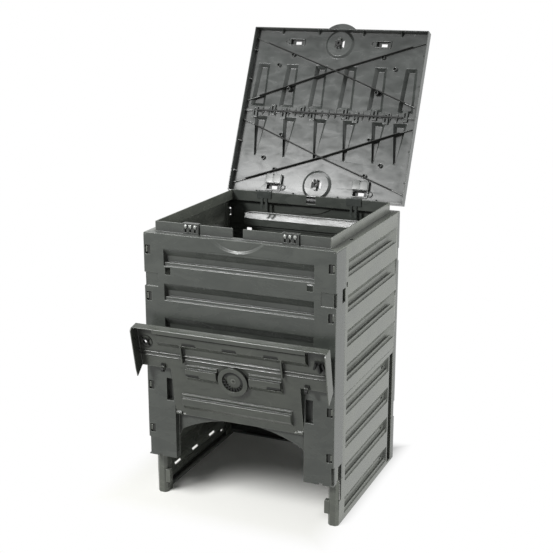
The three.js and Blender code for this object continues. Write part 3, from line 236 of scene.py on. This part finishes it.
# %% [markdown]
# ## Modifiers, applied at once
# A modifier is a quick way to a bevel, a wall or a hole, but the finished mesh has to be real. So each
# one is added, set and applied in one step. Shading is smooth up to an angle, and normals weighted by
# area keep the large flat faces flat, so that only the rounded edges catch the light.

# %% Apply a modifier, and finish a surface
def apply(piece, kind, **settings):
    pick(piece)
    modifier = piece.modifiers.new(kind.lower(), kind)
    for name, value in settings.items():
        setattr(modifier, name, value)
    bpy.ops.object.modifier_apply(modifier=modifier.name)


def finish(piece, smooth_below, material):
    """Even shading up to an angle in degrees, and one material."""
    pick(piece)
    bpy.ops.object.shade_smooth_by_angle(angle=math.radians(smooth_below))
    apply(piece, "WEIGHTED_NORMAL", keep_sharp=True)
    piece.data.materials.clear()
    piece.data.materials.append(material)


# %% [markdown]
# ## A drawing of the closed bin
# Small fittings are easiest to build where the bin is shut: the door upright in its doorway, the lid
# level. That drawing is in millimetres, with y running back from the front wall. Each finished fitting is
# then swung with its panel, by one turn about the panel's hinge, and its place goes into the mesh.

# %% Swing a finished piece to where its panel stands, and fit it
DRAWING_SHIFT_MM = (0, -381.68057, 0)
HINGES = {"lid": ((0, 579.5, 857.8), -114.56), "door": ((0, 5, 294.4), -168.06)}
CARRIER = {"knob_door": "door", "knob_lid_front": "lid", "knob_lid_rear": "lid"}
FITTING_SMOOTH = 40


def turned_about(centre, degrees, axis="Y"):
    """A turn about an axis through a point of the drawing."""
    middle = Vector(centre) * MM
    return Matrix.Translation(middle) @ Matrix.Rotation(math.radians(degrees), 4, axis) \
        @ Matrix.Translation(-middle)


def swing(piece, body):
    place = Matrix.Translation(Vector(DRAWING_SHIFT_MM) * MM)
    hinge = HINGES.get(CARRIER.get(body, body))
    if hinge:
        place = place @ turned_about(*hinge, axis="X")
    piece.matrix_world = place @ piece.matrix_world
    pick(piece)
    bpy.ops.object.transform_apply(location=True, rotation=True, scale=True)


def fit(piece, name, body, material):
    """Swings, finishes and names a fitting, and hands it to its body."""
    swing(piece, body)
    finish(piece, FITTING_SMOOTH, material)
    piece.name = name
    piece.data.name = name
    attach(piece, body)
    print(name, len(piece.data.polygons), "faces")


# %% [markdown]
# ## Two shapes that the fittings start from
# Moulded fittings are mostly blocks and short pipes. A block is drawn between two corners and all its
# edges are bevelled, since no moulded corner is sharp. A pipe is a cylinder without ends that gets a wall
# and soft rims.

# %% Block and pipe
RIM_SOFT, RIM_STEPS = 0.5, 2


def block(low, high, soft, steps=2):
    """A block between two corners of the drawing, its edges rounded by soft millimetres."""
    pick_none()
    middle = [(a + b) / 2 * MM for a, b in zip(low, high)]
    bpy.ops.mesh.primitive_cube_add(size=1, location=middle)
    piece = bpy.context.object
    piece.scale = [(b - a) * MM for a, b in zip(low, high)]
    bpy.ops.object.transform_apply(location=True, rotation=False, scale=True)
    bpy.ops.object.mode_set(mode="EDIT")
    bpy.ops.mesh.select_all(action="SELECT")
    bpy.ops.mesh.bevel(offset=soft * MM, segments=steps, affect="EDGES")
    bpy.ops.object.mode_set(mode="OBJECT")
    return piece


def tube(centre, radius, wall, length, turn=(0, 0, 0), sides=24):
    """A short pipe with its middle at centre, along z unless turned."""
    pick_none()
    bpy.ops.mesh.primitive_cylinder_add(vertices=sides, radius=radius * MM, depth=length * MM,
                                        end_fill_type="NOTHING", location=[c * MM for c in centre],
                                        rotation=[math.radians(a) for a in turn])
    piece = bpy.context.object
    bpy.ops.object.transform_apply(location=True, rotation=True, scale=True)
    apply(piece, "SOLIDIFY", thickness=wall * MM, offset=-1)
    apply(piece, "BEVEL", width=min(RIM_SOFT, wall / 4) * MM, segments=RIM_STEPS, limit_method="ANGLE")
    return piece


# %% [markdown]
# ## One moulding, and its copies
# Shapes that were moulded in one go are merged to one mesh. What repeats is modelled once and copied, and
# each copy gets a mesh of its own. To draw out or inset one face, the faces at the piece's lowest level
# are picked.

# %% Merge, copy and pick faces
SAME_LEVEL_MM = 0.01


def merge(pieces):
    pick(pieces[0])
    for piece in pieces[1:]:
        piece.select_set(True)
    bpy.ops.object.join()
    return bpy.context.object


def copy_of(piece, offset):
    twin = bpy.data.objects.new(piece.name, piece.data.copy())
    bpy.context.scene.collection.objects.link(twin)
    twin.matrix_world = Matrix.Translation(Vector(offset) * MM)
    pick(twin)
    bpy.ops.object.transform_apply(location=True, rotation=True, scale=True)
    return twin


def edit_lowest_faces(piece, axis):
    """Opens a piece in edit mode with only the faces picked that are lowest along an axis."""
    bpy.ops.object.mode_set(mode="EDIT")
    bpy.ops.mesh.select_all(action="DESELECT")
    bpy.ops.object.mode_set(mode="OBJECT")
    points = piece.data.vertices
    lowest = min(point.co[axis] for point in points)
    for face in piece.data.polygons:
        face.select = all(abs(points[i].co[axis] - lowest) < SAME_LEVEL_MM * MM for i in face.vertices)
    bpy.ops.object.mode_set(mode="EDIT")
    bpy.ops.mesh.select_mode(type="FACE")


# %% [markdown]
# ## The hole at the left end of the door
# The door's strip has one clean round hole near its left end, through which the white room shows. A slim
# cylinder is stood in it as a cutter, for use while the door's copy is still plain, because a boolean
# works best before the bevel.

# %% Cutter for the end hole
END_HOLE_X, END_HOLE_Z, END_HOLE_RADIUS = -276, 59, 6.5
CUTTER_MIDDLE, CUTTER_LENGTH = 3, 20
pick_none()
bpy.ops.mesh.primitive_cylinder_add(vertices=24, radius=END_HOLE_RADIUS * MM, depth=CUTTER_LENGTH * MM,
                                    rotation=(math.radians(90), 0, 0),
                                    location=[c * MM for c in (END_HOLE_X, CUTTER_MIDDLE, END_HOLE_Z)])
end_hole = bpy.context.object
swing(end_hole, "door")
print("cutter:", 2 * END_HOLE_RADIUS, "mm wide")

# %% [markdown]
# ## Soft moulded edges
# A mould can't have a knife-sharp edge, and neither can the plastic from it: each corner is rounded by a
# millimetre or so, and that is what catches the light as a bright line. A copy of each packed panel is
# merged, its flat faces are dissolved and cut into clean triangles, and a bevel rounds every edge over 25
# degrees. Triangles come before the bevel because a large face with many corners can fold over its own
# openings. The copy then stands for the panel.

# %% Round the edges of a panel
MERGE_MM, FLAT_DEGREES = 0.02, 0.3
SOFT_STEPS, SHARP_DEGREES, PANEL_SMOOTH = 2, 25, 45


def clean(piece):
    pick(piece)
    bpy.ops.object.mode_set(mode="EDIT")
    bpy.ops.mesh.select_all(action="SELECT")
    bpy.ops.mesh.remove_doubles(threshold=MERGE_MM * MM)
    bpy.ops.mesh.dissolve_limited(angle_limit=math.radians(FLAT_DEGREES))
    bpy.ops.mesh.quads_convert_to_tris(quad_method="BEAUTY", ngon_method="BEAUTY")
    bpy.ops.object.mode_set(mode="OBJECT")


def soften(node, body, width_mm, material, cutter=None):
    piece = bpy.data.objects.new(node + "_soft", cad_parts[node].data.copy())
    bpy.context.scene.collection.objects.link(piece)
    clean(piece)
    if cutter:
        apply(piece, "BOOLEAN", object=cutter, operation="DIFFERENCE", solver="EXACT")
        bpy.data.objects.remove(cutter)
        clean(piece)
    apply(piece, "BEVEL", width=width_mm * MM, segments=SOFT_STEPS, limit_method="ANGLE",
          angle_limit=math.radians(SHARP_DEGREES), use_clamp_overlap=False)
    finish(piece, PANEL_SMOOTH, material)
    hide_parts(node)
    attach(piece, body)
    print(piece.name, len(piece.data.polygons), "faces")


# %% [markdown]
# ## Which edge is how soft
# Big panels have the softest edges, because a thick corner of the mould wears first. The lid is thinner
# and crisper. Clips, knobs and pins are small, so their edges are finer still.

# %% Soften every panel
WALL_SOFT, LID_SOFT, KNOB_SOFT, FITTING_SOFT, PIN_SOFT = 1.5, 0.8, 0.6, 0.5, 0.3
for wall in ("front_wall", "back_wall"):
    soften(wall, "bin", WALL_SOFT, wall_plastic)
for word in ("right", "left"):
    for module in ("upper", "lower"):
        soften("side_wall_%s_%s" % (word, module), "bin", WALL_SOFT, side_painted_light_plastic)
for fitting, plastic in (("rim_clip", fitting_plastic), ("hinge_bracket", lid_plastic)):
    for _, word in SIDES:
        soften("%s_%s" % (fitting, word), "bin", FITTING_SOFT, plastic)
for word in ("front", "rear"):
    soften("lid_%s_half" % word, "lid", LID_SOFT, lid_plastic)
soften("door_panel", "door", WALL_SOFT, door_plastic, cutter=end_hole)
soften("door_knob", "knob_door", KNOB_SOFT, fitting_plastic)
for word in ("front", "rear"):
    soften("lid_knob_" + word, "knob_lid_" + word, KNOB_SOFT, fitting_plastic)
for pin in ("hinge_pin", "door_pivot_pin"):
    for _, word in SIDES:
        soften("%s_%s" % (pin, word), "bin", PIN_SOFT, pin_plastic)

# %% [markdown]
# ## The collar of the end hole
# The inner face of the door carries small mouldings that only show when it is swung up. The first is a
# black collar round the end hole, with a low ring outside it and four stiffening ribs between them. It is
# two pipes and four rounded blocks, merged to one moulding.

# %% Collar round the end hole
DOOR_FACE = 5
FACING_DOOR = (90, 0, 0)
COLLAR_RADIUS, COLLAR_WALL, COLLAR_TALL = 10.5, 3.6, 6.4
RING_RADIUS, RING_WALL, RING_TALL = 21, 2, 2
RIB_FROM, RIB_TO, RIB_HALF, RIB_TALL, RIBS = 9.6, 20, 1.2, 4, 4
parts = [tube((END_HOLE_X, DOOR_FACE + COLLAR_TALL / 2, END_HOLE_Z), COLLAR_RADIUS, COLLAR_WALL,
              COLLAR_TALL, turn=FACING_DOOR)]
for number in range(RIBS):
    rib = block((END_HOLE_X + RIB_FROM, DOOR_FACE, END_HOLE_Z - RIB_HALF),
                (END_HOLE_X + RIB_TO, DOOR_FACE + RIB_TALL, END_HOLE_Z + RIB_HALF), 0.5)
    rib.data.transform(turned_about((END_HOLE_X, 0, END_HOLE_Z), 45 + 360 / RIBS * number))
    parts.append(rib)
parts.append(tube((END_HOLE_X, DOOR_FACE + RING_TALL / 2, END_HOLE_Z), RING_RADIUS, RING_WALL, RING_TALL,
                  turn=FACING_DOOR, sides=32))
fit(merge(parts), "door_end_collar", "door", black_nylon_and_painted_shade)

# %% [markdown]
# ## Claws at the other end
# At the right end the photo shows three dark fingers, taken as claws that grip the side wall when the
# door is shut. Each is a rounded block that leans its own way, and all stand on one foot.

# %% Claws
CLAW_FOOT_Z, CLAW_HALF, CLAW_RISE_SHARE = 48, 3.2, 0.6
CLAW_FOOT = ((256, DOOR_FACE, 44), (288, 7, 54))
# Each claw's place across the door, its length, and its lean in degrees.
CLAWS = ((262, 20, -16), (272, 27, 8), (283, 22, 16))
parts = []
for x, length, lean in CLAWS:
    claw = block((x - CLAW_HALF, DOOR_FACE, CLAW_FOOT_Z),
                 (x + CLAW_HALF, DOOR_FACE + length * CLAW_RISE_SHARE, CLAW_FOOT_Z + length), 1.1)
    claw.data.transform(turned_about((x, 0, CLAW_FOOT_Z), lean))
    parts.append(claw)
parts.append(block(*CLAW_FOOT, 0.7))
fit(merge(parts), "door_end_claws", "door", black_nylon_and_painted_shade)

# %% [markdown]
# ## Eyes on the hooks
# The two hooks that the door hangs by each end in a small dark eye. It is a pipe lying across the door,
# on a flat foot.

# %% Hook eyes
EYE_X, EYE_Z, EYE_RADIUS, EYE_WALL, EYE_LENGTH, EYE_LIFT = 228, 145, 7, 3.2, 9, 0.4
FOOT_HALF, FOOT_TALL, FOOT_LOW, FOOT_HIGH = 7.5, 3, 128, 140
for side, word in SIDES:
    x = side * EYE_X
    eye = tube((x, DOOR_FACE + EYE_RADIUS + EYE_LIFT, EYE_Z), EYE_RADIUS, EYE_WALL, EYE_LENGTH,
               turn=(0, 90, 0))
    foot = block((x - FOOT_HALF, DOOR_FACE, FOOT_LOW),
                 (x + FOOT_HALF, DOOR_FACE + FOOT_TALL, FOOT_HIGH), 0.8)
    fit(merge([eye, foot]), "door_hook_eye_" + word, "door", black_nylon_and_painted_shade)

# %% [markdown]
# ## Painted shade in the vents
# Air gets in through five slots of the door. In each a thin black strip of painted shade hangs from the
# groove's slope, and its lip lies on the ledge inside, where it shows as a black dash of painted shade.

# %% Vent baffles
VENT_X = 129
VENT_ROWS = ((47, (-VENT_X, 0, VENT_X)), (151, (-VENT_X, VENT_X)))
STRIP = {"half": 25, "depth": (5.2, 7.0), "height": (-4, 13), "soft": 0.6}
LIP = {"half": 21, "depth": (17.3, 18.6), "height": (-5.8, 0.8), "soft": 0.4}


def across_vent(x, z, half, depth, height, soft):
    """A block across one vent, from and to in depth, and in height as counted from the vent."""
    return block((x - half, depth[0], z + height[0]), (x + half, depth[1], z + height[1]), soft)


parts = []
for z, places in VENT_ROWS:
    parts += [across_vent(x, z, **STRIP) for x in places]
    parts += [across_vent(x, z, **LIP) for x in places]
# The strips and lips are black as painted shade.
fit(merge(parts), "door_vent_shade_strips", "door", black_nylon_and_painted_shade)

# %% [markdown]
# ## Inside the door's hub
# The knob goes through the door, and its plate nearly fills the hub on the inner side. The plate is a
# wide flat pipe, and a small boss stands in its middle. Both turn with the knob.

# %% Plate of the knob
HUB_Z = 150.4
PLATE_Y, PLATE_RADIUS, PLATE_WALL, PLATE_THICK = 9.4, 31, 24, 1.8
BOSS_Y, BOSS_RADIUS, BOSS_WALL, BOSS_TALL = 9.6, 7.6, 5, 3.4
plate = tube((0, PLATE_Y, HUB_Z), PLATE_RADIUS, PLATE_WALL, PLATE_THICK, turn=FACING_DOOR, sides=48)
boss = tube((0, BOSS_Y, HUB_Z), BOSS_RADIUS, BOSS_WALL, BOSS_TALL, turn=FACING_DOOR)
fit(merge([plate, boss]), "door_knob_plate", "knob_door", door_plastic)

# %% [markdown]
# ## The ratchet
# Round one side of the hub the photo shows a toothed arc, taken as the ratchet that clicks when the knob
# is turned. Its band is a flat strip spun about the hub's axis, from the first tooth to the last, and it
# reaches into the hub's wall. Each tooth is a rounded block set on it.

# %% Band of the ratchet
FIRST_TOOTH, LAST_TOOTH, TEETH = 18, 192, 9
BAND_RADIUS, BAND_WIDTH, BAND_TALL, BAND_Y, BAND_STEPS = 28.1, 10.5, 1.4, 11.4, 24
first = math.radians(FIRST_TOOTH)
start = Vector((BAND_RADIUS * math.cos(first), BAND_Y, HUB_Z + BAND_RADIUS * math.sin(first)))
pick_none()
bpy.ops.mesh.primitive_plane_add(size=1, location=(0, 0, 0))
band = bpy.context.object
band.scale = (BAND_WIDTH * MM, BAND_TALL * MM, 1)
bpy.ops.object.transform_apply(location=True, rotation=True, scale=True)
band.matrix_world = Matrix.Translation(start * MM) @ Matrix.Rotation(-first, 4, "Y")
bpy.ops.object.transform_apply(location=True, rotation=True, scale=True)
bpy.ops.object.mode_set(mode="EDIT")
bpy.ops.mesh.select_all(action="SELECT")
bpy.ops.mesh.spin(steps=BAND_STEPS, angle=math.radians(FIRST_TOOTH - LAST_TOOTH),
                  center=(0, 0, HUB_Z * MM), axis=(0, 1, 0))
bpy.ops.mesh.select_all(action="SELECT")
bpy.ops.mesh.remove_doubles(threshold=SAME_LEVEL_MM * MM)
bpy.ops.mesh.normals_make_consistent(inside=False)
bpy.ops.object.mode_set(mode="OBJECT")
print("band:", len(band.data.polygons), "faces over", LAST_TOOTH - FIRST_TOOTH, "degrees")

# %% [markdown]
# ## Teeth on the band
# Nine teeth share the arc evenly. Each is built on the level at the right of the hub and turned to its
# place.

# %% Teeth
TOOTH_FROM, TOOTH_TO, TOOTH_FOOT, TOOTH_TOP, TOOTH_HALF = 22, 31.6, 10.8, 15.5, 2.4
parts = [band]
for number in range(TEETH):
    angle = FIRST_TOOTH + (LAST_TOOTH - FIRST_TOOTH) * (number + 0.5) / TEETH
    tooth = block((TOOTH_FROM, TOOTH_FOOT, HUB_Z - TOOTH_HALF),
                  (TOOTH_TO, TOOTH_TOP, HUB_Z + TOOTH_HALF), 0.7)
    tooth.data.transform(turned_about((0, 0, HUB_Z), -angle))
    parts.append(tooth)
fit(merge(parts), "door_hub_ratchet", "door", black_nylon_and_painted_shade)

# %% [markdown]
# ## Lugs on the rim clips
# Each clip on the front rim shows three little bright lugs, whose glints are painted into their pale
# colour. A lug is a rounded block whose lower face is drawn down and tapered to a nose.

# %% Lugs
CLIP_X, LUG_STEP = 155, 15
LUG_HALF, LUG_FRONT, LUG_BACK, LUG_LOW, LUG_HIGH, LUG_SOFT = 4.6, 15.6, 20.6, 862.5, 871, 2.1
NOSE_BACK, NOSE_DROP, NOSE_TAPER = 0.8, 3.2, (0.5, 0.6, 1)
Z_AXIS = 2


def lug(x):
    made = block((x - LUG_HALF, LUG_FRONT, LUG_LOW), (x + LUG_HALF, LUG_BACK, LUG_HIGH), LUG_SOFT, steps=3)
    edit_lowest_faces(made, Z_AXIS)
    nose = (0, NOSE_BACK * MM, -NOSE_DROP * MM)
    bpy.ops.mesh.extrude_region_move(TRANSFORM_OT_translate={"value": nose})
    bpy.ops.transform.resize(value=NOSE_TAPER)
    bpy.ops.object.mode_set(mode="OBJECT")
    return made


for side, word in SIDES:
    lugs = [lug(side * CLIP_X + step) for step in (-LUG_STEP, 0, LUG_STEP)]
    # The lugs' pale colour is a painted highlight.
    fit(merge(lugs), "rim_clip_lugs_" + word, "bin", painted_glint_nylon)

# %% [markdown]
# ## Painted shade behind the corner windows
# The side walls snap into windows at the corners, and in the photo the windows are black. So a thin black
# sheet of painted shade stands behind each. One sheet is made with a raised rim, and copied sixteen
# times.

# %% Window flaps
SHADE_SHEET_WIDE, SHADE_SHEET_THICK, SHADE_SHEET_TALL, SHADE_SHEET_RIM, SHADE_SHEET_HOLLOW = 13.2, 1.4, 32, 1.6, 0.6
SHADE_SHEET_X, SHADE_SHEET_PLACES, BODY_TALL = 281.6, (5.2, 568.8), 842
WINDOW_SHARES = (0.94, 0.772, 0.441, 0.276)
Y_AXIS = 1
far_corner = (SHADE_SHEET_WIDE / 2, SHADE_SHEET_THICK / 2, SHADE_SHEET_TALL / 2)
shade_sheet = block([-c for c in far_corner], far_corner, 0.4)
edit_lowest_faces(shade_sheet, Y_AXIS)
bpy.ops.mesh.inset(thickness=SHADE_SHEET_RIM * MM, depth=-SHADE_SHEET_HOLLOW * MM)
bpy.ops.object.mode_set(mode="OBJECT")
places = [(side * SHADE_SHEET_X, y, height * BODY_TALL) for height in WINDOW_SHARES for side, _ in SIDES
          for y in SHADE_SHEET_PLACES]
# Each copy is a black sheet of painted shade behind one window.
for number, place in enumerate(places, 1):
    fit(copy_of(shade_sheet, place), "window_flap_%02d" % number, "bin", black_nylon_and_painted_shade)
bpy.data.objects.remove(shade_sheet)

# %% [markdown]
# ## Retainers in the lid's hubs
# Inside the lid each knob is held by a black retainer: a short six-sided barrel with two ears, which
# turns with the knob. A web of the lid closes the left lobe of the bow-tie hole, with a keel below it.
# The rear ones are the front ones mirrored along the lid.

# %% Hub retainers
HUB_PLACES = ((532.0, 1, "rear"), (47.4, -1, "front"))
BARREL_Z, BARREL_RADIUS, BARREL_WALL, BARREL_TALL = 866.2, 11.6, 7, 6.6
EAR_FROM, EAR_TO, EAR_HALF, EAR_LOW, EAR_HIGH = 10, 17, 2.4, 865.0, 869.2
EAR_PLACES = (-6.5, 5)
WEB_LEFT, WEB_RIGHT, WEB_HALF, WEB_LOW, WEB_HIGH = -16.4, -8.8, 12, 873.6, 875.6
KEEL_LEFT, KEEL_RIGHT, KEEL_HALF, KEEL_LOW, KEEL_HIGH = -13.4, -11.4, 9, 872.9, 874
for y, way, word in HUB_PLACES:
    barrel = tube((0, y, BARREL_Z), BARREL_RADIUS, BARREL_WALL, BARREL_TALL, sides=6)
    near, far = sorted((y - way * EAR_FROM, y - way * EAR_TO))
    ears = [block((x - EAR_HALF, near, EAR_LOW), (x + EAR_HALF, far, EAR_HIGH), 0.8) for x in EAR_PLACES]
    fit(merge([barrel] + ears), "lid_hub_retainer_" + word, "knob_lid_" + word, black_nylon_and_painted_shade)
    web = block((WEB_LEFT, y - WEB_HALF, WEB_LOW), (WEB_RIGHT, y + WEB_HALF, WEB_HIGH), 0.5)
    keel = block((KEEL_LEFT, y - KEEL_HALF, KEEL_LOW), (KEEL_RIGHT, y + KEEL_HALF, KEEL_HIGH), 0.4)
    fit(merge([web, keel]), "lid_hub_web_" + word, "lid", black_nylon_and_painted_shade)

# %% [markdown]
# ## Crests of the lid's ribs
# The crossed ribs under each half of the lid stand tall and thin, and their crests are coloured black as
# painted shade, so they show as dark lines. Each crest is a slim rounded blade, turned to run from the
# crossing towards a corner, and it stops short of the rim.

# %% Rib crests
SEAM_Y, CROSSING, RIB_REACH, RIB_CORNERS = 289.7, 149.0, 302.0, (32.0, 255.3)
CREST_REACH, CREST_HALF, CREST_LOW, CREST_HIGH = 255.0, 1.1, 865, 874


def crest(way, side, corner):
    """A blade from the crossing of one lid half towards the corner on one side."""
    across = side * CREST_REACH
    along = way * CREST_REACH * (corner - CROSSING) / RIB_REACH
    half = math.hypot(across, along) / 2
    blade = block((-half, -CREST_HALF, CREST_LOW), (half, CREST_HALF, CREST_HIGH), 0.5)
    middle = Vector((across / 2, SEAM_Y + way * CROSSING + along / 2, 0)) * MM
    blade.data.transform(Matrix.Translation(middle) @ Matrix.Rotation(math.atan2(along, across), 4, "Z"))
    return blade


for way, word in ((-1, "front"), (1, "rear")):
    crests = [crest(way, side, corner) for corner in RIB_CORNERS for side, _ in SIDES]
    # The crests' black colour is painted shade.
    fit(merge(crests), "lid_rib_crests_" + word, "lid", black_nylon_and_painted_shade)

# %% [markdown]
# ## The strip on the seam
# A soft black strip closes the seam between the halves of the lid, between the fins that stand along it.

# %% Seam strip
STRIP_REACH, STRIP_HALF, STRIP_LOW, STRIP_HIGH = 256, 2.6, 866.0, 873.2
strip = block((-STRIP_REACH, SEAM_Y - STRIP_HALF, STRIP_LOW),
              (STRIP_REACH, SEAM_Y + STRIP_HALF, STRIP_HIGH), 0.9)
fit(strip, "lid_seam_strip", "lid", black_nylon_and_painted_shade)

# %% [markdown]
# ## Housings of the rear slots
# The rear slots of the lid sit in raised housings with two humps, and dark pegs stand in the slots. The
# housing is a rounded block and its humps are two more, merged to one moulding. The pegs are three short
# pipes.

# %% Slot housings
SLOT_X = 152.0
BASE_HALF, BASE_FRONT, BASE_BACK, BASE_LOW, BASE_HIGH = 29, 510, 537.6, 868.0, 879.4
HUMPS, HUMP_FRONT, HUMP_BACK, HUMP_LOW, HUMP_HIGH = ((-26, -2), (1, 26)), 506, 536, 866.8, 878
PEG_STEPS, PEG_Y, PEG_Z, PEG_RADIUS, PEG_WALL, PEG_TALL = (-20, -9, 2), 539.8, 878.1, 4.2, 2.6, 4.4
for side, word in SIDES:
    x = side * SLOT_X
    base = block((x - BASE_HALF, BASE_FRONT, BASE_LOW), (x + BASE_HALF, BASE_BACK, BASE_HIGH), 1.4)
    humps = [block((x + left, HUMP_FRONT, HUMP_LOW), (x + right, HUMP_BACK, HUMP_HIGH), 1.2)
             for left, right in HUMPS]
    fit(merge([base] + humps), "lid_slot_housing_" + word, "lid", lid_plastic)
    pegs = [tube((x + step, PEG_Y, PEG_Z), PEG_RADIUS, PEG_WALL, PEG_TALL, sides=16)
            for step in PEG_STEPS]
    fit(merge(pegs), "lid_slot_pegs_" + word, "lid", black_nylon_and_painted_shade)

# %% [markdown]
# ## The floor
# The bin stands on a pale floor that takes its soft shadow. In the photo the floor has been brightened to
# plain white a hand's breadth from the bin. So the sheet turns from paper to plain white there, for the
# camera and in reflections, while it stays paper for the light that it throws back.

# %% Who is looking
def looked_at(tree):
    """1 for what the camera sees, straight or in a reflection."""
    path = add(tree, "ShaderNodeLightPath")
    return add(tree, "ShaderNodeMath", {"operation": "MAXIMUM"}, i0=path.outputs["Is Camera Ray"],
               i1=path.outputs["Is Glossy Ray"]).outputs[0]


# %% [markdown]
# ## Paper that fades to white
# The fade runs along the bin's square foot. It measures how far a point is from a middle, along x or y,
# whichever is more. The paper ends 30 cm from that middle and all is white 12 cm further on.

# %% Floor
FLOOR_RADIUS, FLOOR_GAP_MM = 14, 0.5
FADE_MIDDLE, FADE_FROM, FADE_TO = (-0.08, -0.095, 0), 0.3, 0.42
pick_none()
bpy.ops.mesh.primitive_circle_add(vertices=96, radius=FLOOR_RADIUS, fill_type="NGON",
                                  location=(0, 0, -FLOOR_GAP_MM * MM))
floor = bpy.context.object
floor.name = "floor"
bpy.ops.object.transform_apply(location=True)
paper = bpy.data.materials.new("pale_floor_paper")
tree = empty_tree(paper)
place = add(tree, "ShaderNodeTexCoord").outputs["Object"]
offset = add(tree, "ShaderNodeVectorMath", {"operation": "SUBTRACT"}, i0=place, i1=FADE_MIDDLE).outputs[0]
away = add(tree, "ShaderNodeVectorMath", {"operation": "ABSOLUTE"}, i0=offset).outputs[0]
sides = add(tree, "ShaderNodeSeparateXYZ", Vector=away).outputs
reach = add(tree, "ShaderNodeMath", {"operation": "MAXIMUM"}, i0=sides[0], i1=sides[1]).outputs[0]
faded = add(tree, "ShaderNodeMapRange", {"interpolation_type": "SMOOTHSTEP"}, Value=reach, i1=FADE_FROM,
            i2=FADE_TO, i3=0.0, i4=1.0)
amount = add(tree, "ShaderNodeMath", {"operation": "MULTIPLY"}, i0=faded.outputs["Result"],
             i1=looked_at(tree)).outputs[0]
matte = add(tree, "ShaderNodeBsdfDiffuse", Color=linear("#f6f6f2"))
white = add(tree, "ShaderNodeEmission", Color=linear("#ffffff"), Strength=1.0)
both = add(tree, "ShaderNodeMixShader", i0=amount, i1=matte.outputs[0], i2=white.outputs[0])
add(tree, "ShaderNodeOutputMaterial", Surface=both.outputs[0])
floor.data.materials.append(paper)
print("floor:", 2 * FLOOR_RADIUS, "m wide, white from", FADE_TO, "m outwards")

# %% [markdown]
# ## The white room
# The white behind the bin is the world as the camera and the gloss see it. As a light the room gives only
# a dim fill, so that the inside of the bin stays nearly black.

# %% World
ROOM_LIGHT, ROOM_SEEN = 0.12, 1.0
world = bpy.data.worlds.new("white_room")
bpy.context.scene.world = world
tree = empty_tree(world)
room = add(tree, "ShaderNodeBackground", Color=linear("#ffffff"), Strength=ROOM_LIGHT)
shown = add(tree, "ShaderNodeBackground", Color=linear("#ffffff"), Strength=ROOM_SEEN)
both = add(tree, "ShaderNodeMixShader", i0=looked_at(tree), i1=room.outputs[0], i2=shown.outputs[0])
add(tree, "ShaderNodeOutputWorld", Surface=both.outputs[0])
print("room light:", ROOM_LIGHT, "and as it is seen:", ROOM_SEEN)

# %% [markdown]
# ## What each lamp reaches
# The photo's floor has been brightened, while its bin has not, and one lamp can't do both. So light
# linking splits them. The floor has a lamp of its own, and the other lamps light everything but the
# floor.

# %% Receivers
def receivers(name, state):
    group = bpy.data.collections.new(name)
    group.objects.link(floor)
    group.collection_objects[0].light_linking.link_state = state
    return group


floor_only = receivers("floor_only", "INCLUDE")
bin_only = receivers("bin_only", "EXCLUDE")
print("receivers:", floor_only.name, "and", bin_only.name)

# %% [markdown]
# ## Five lamps
# Each lamp does one thing that the photo shows. The key softbox stands at the left front, where the open
# lid mirrors it beside its lower hub. The snooted lamp from above picks out the shoulder, the grooves'
# sills and the door's lip. A low lamp at the right gives the side wall its even grey, a weak ceiling
# panel opens the shade, and the floor key draws the shadow.

# %% Lamps
SNOOT_BLEND = 0.5


def lamp(name, place, aim, size, watts, cone=None, lights=bin_only):
    """A square soft lamp, or with a cone in degrees a spot, aimed at a point. Metres and watts."""
    data = bpy.data.lights.new(name, "SPOT" if cone else "AREA")
    data.energy = watts
    if cone:
        data.spot_size = math.radians(cone)
        data.spot_blend = SNOOT_BLEND
        data.shadow_soft_size = size
    else:
        data.shape = "SQUARE"
        data.size = size
    made = bpy.data.objects.new(name, data)
    bpy.context.scene.collection.objects.link(made)
    made.location = place
    made.rotation_mode = "QUATERNION"
    made.rotation_quaternion = (Vector(aim) - Vector(place)).to_track_quat("-Z", "Y")
    made.light_linking.receiver_collection = lights
    print("lamp", name, watts, "W")


lamp("key softbox", place=(-1.49, -3.0, 2.6), aim=(0, -0.2, 0.6), size=0.6, watts=178)
lamp("snooted top", place=(-1.25, -1.2, 3.55), aim=(0.03, -0.36, 0.68), size=0.3, watts=270, cone=27)
lamp("side", place=(3.4, 0.2, 1.0), aim=(0.3, -0.05, 0.45), size=1.2, watts=170)
lamp("ceiling", place=(0.2, 0.3, 3.3), aim=(0, -0.1, 0.8), size=1.2, watts=45)
lamp("floor key", place=(-0.82, -2.4, 3.02), aim=(0, -0.2, 0), size=1.7, watts=160, lights=floor_only)

# %% [markdown]
# ## Camera
# The camera stands at the right front, a little above the bin, and looks down by 15 degrees, as the photo
# was taken. A lens of 74 mm from 3.5 m gives the same mild perspective.

# %% Camera
LENS_MM, SENSOR_MM = 73.91, 36
CAMERA_PLACE = (1.32399, -3.18161, 1.59686)
LOOK_DOWN, ROLL, LOOK_LEFT = 15.469, -0.04, 23.242
view = bpy.data.cameras.new("photo_view")
view.lens = LENS_MM
view.sensor_width = SENSOR_MM
camera = bpy.data.objects.new("photo_view", view)
bpy.context.scene.collection.objects.link(camera)
camera.location = CAMERA_PLACE
camera.rotation_euler = [math.radians(angle) for angle in (90 - LOOK_DOWN, ROLL, LOOK_LEFT)]
bpy.context.scene.camera = camera
bpy.context.scene.view_settings.view_transform = "Standard"
print("camera", LENS_MM, "mm, looking down by", LOOK_DOWN, "degrees")
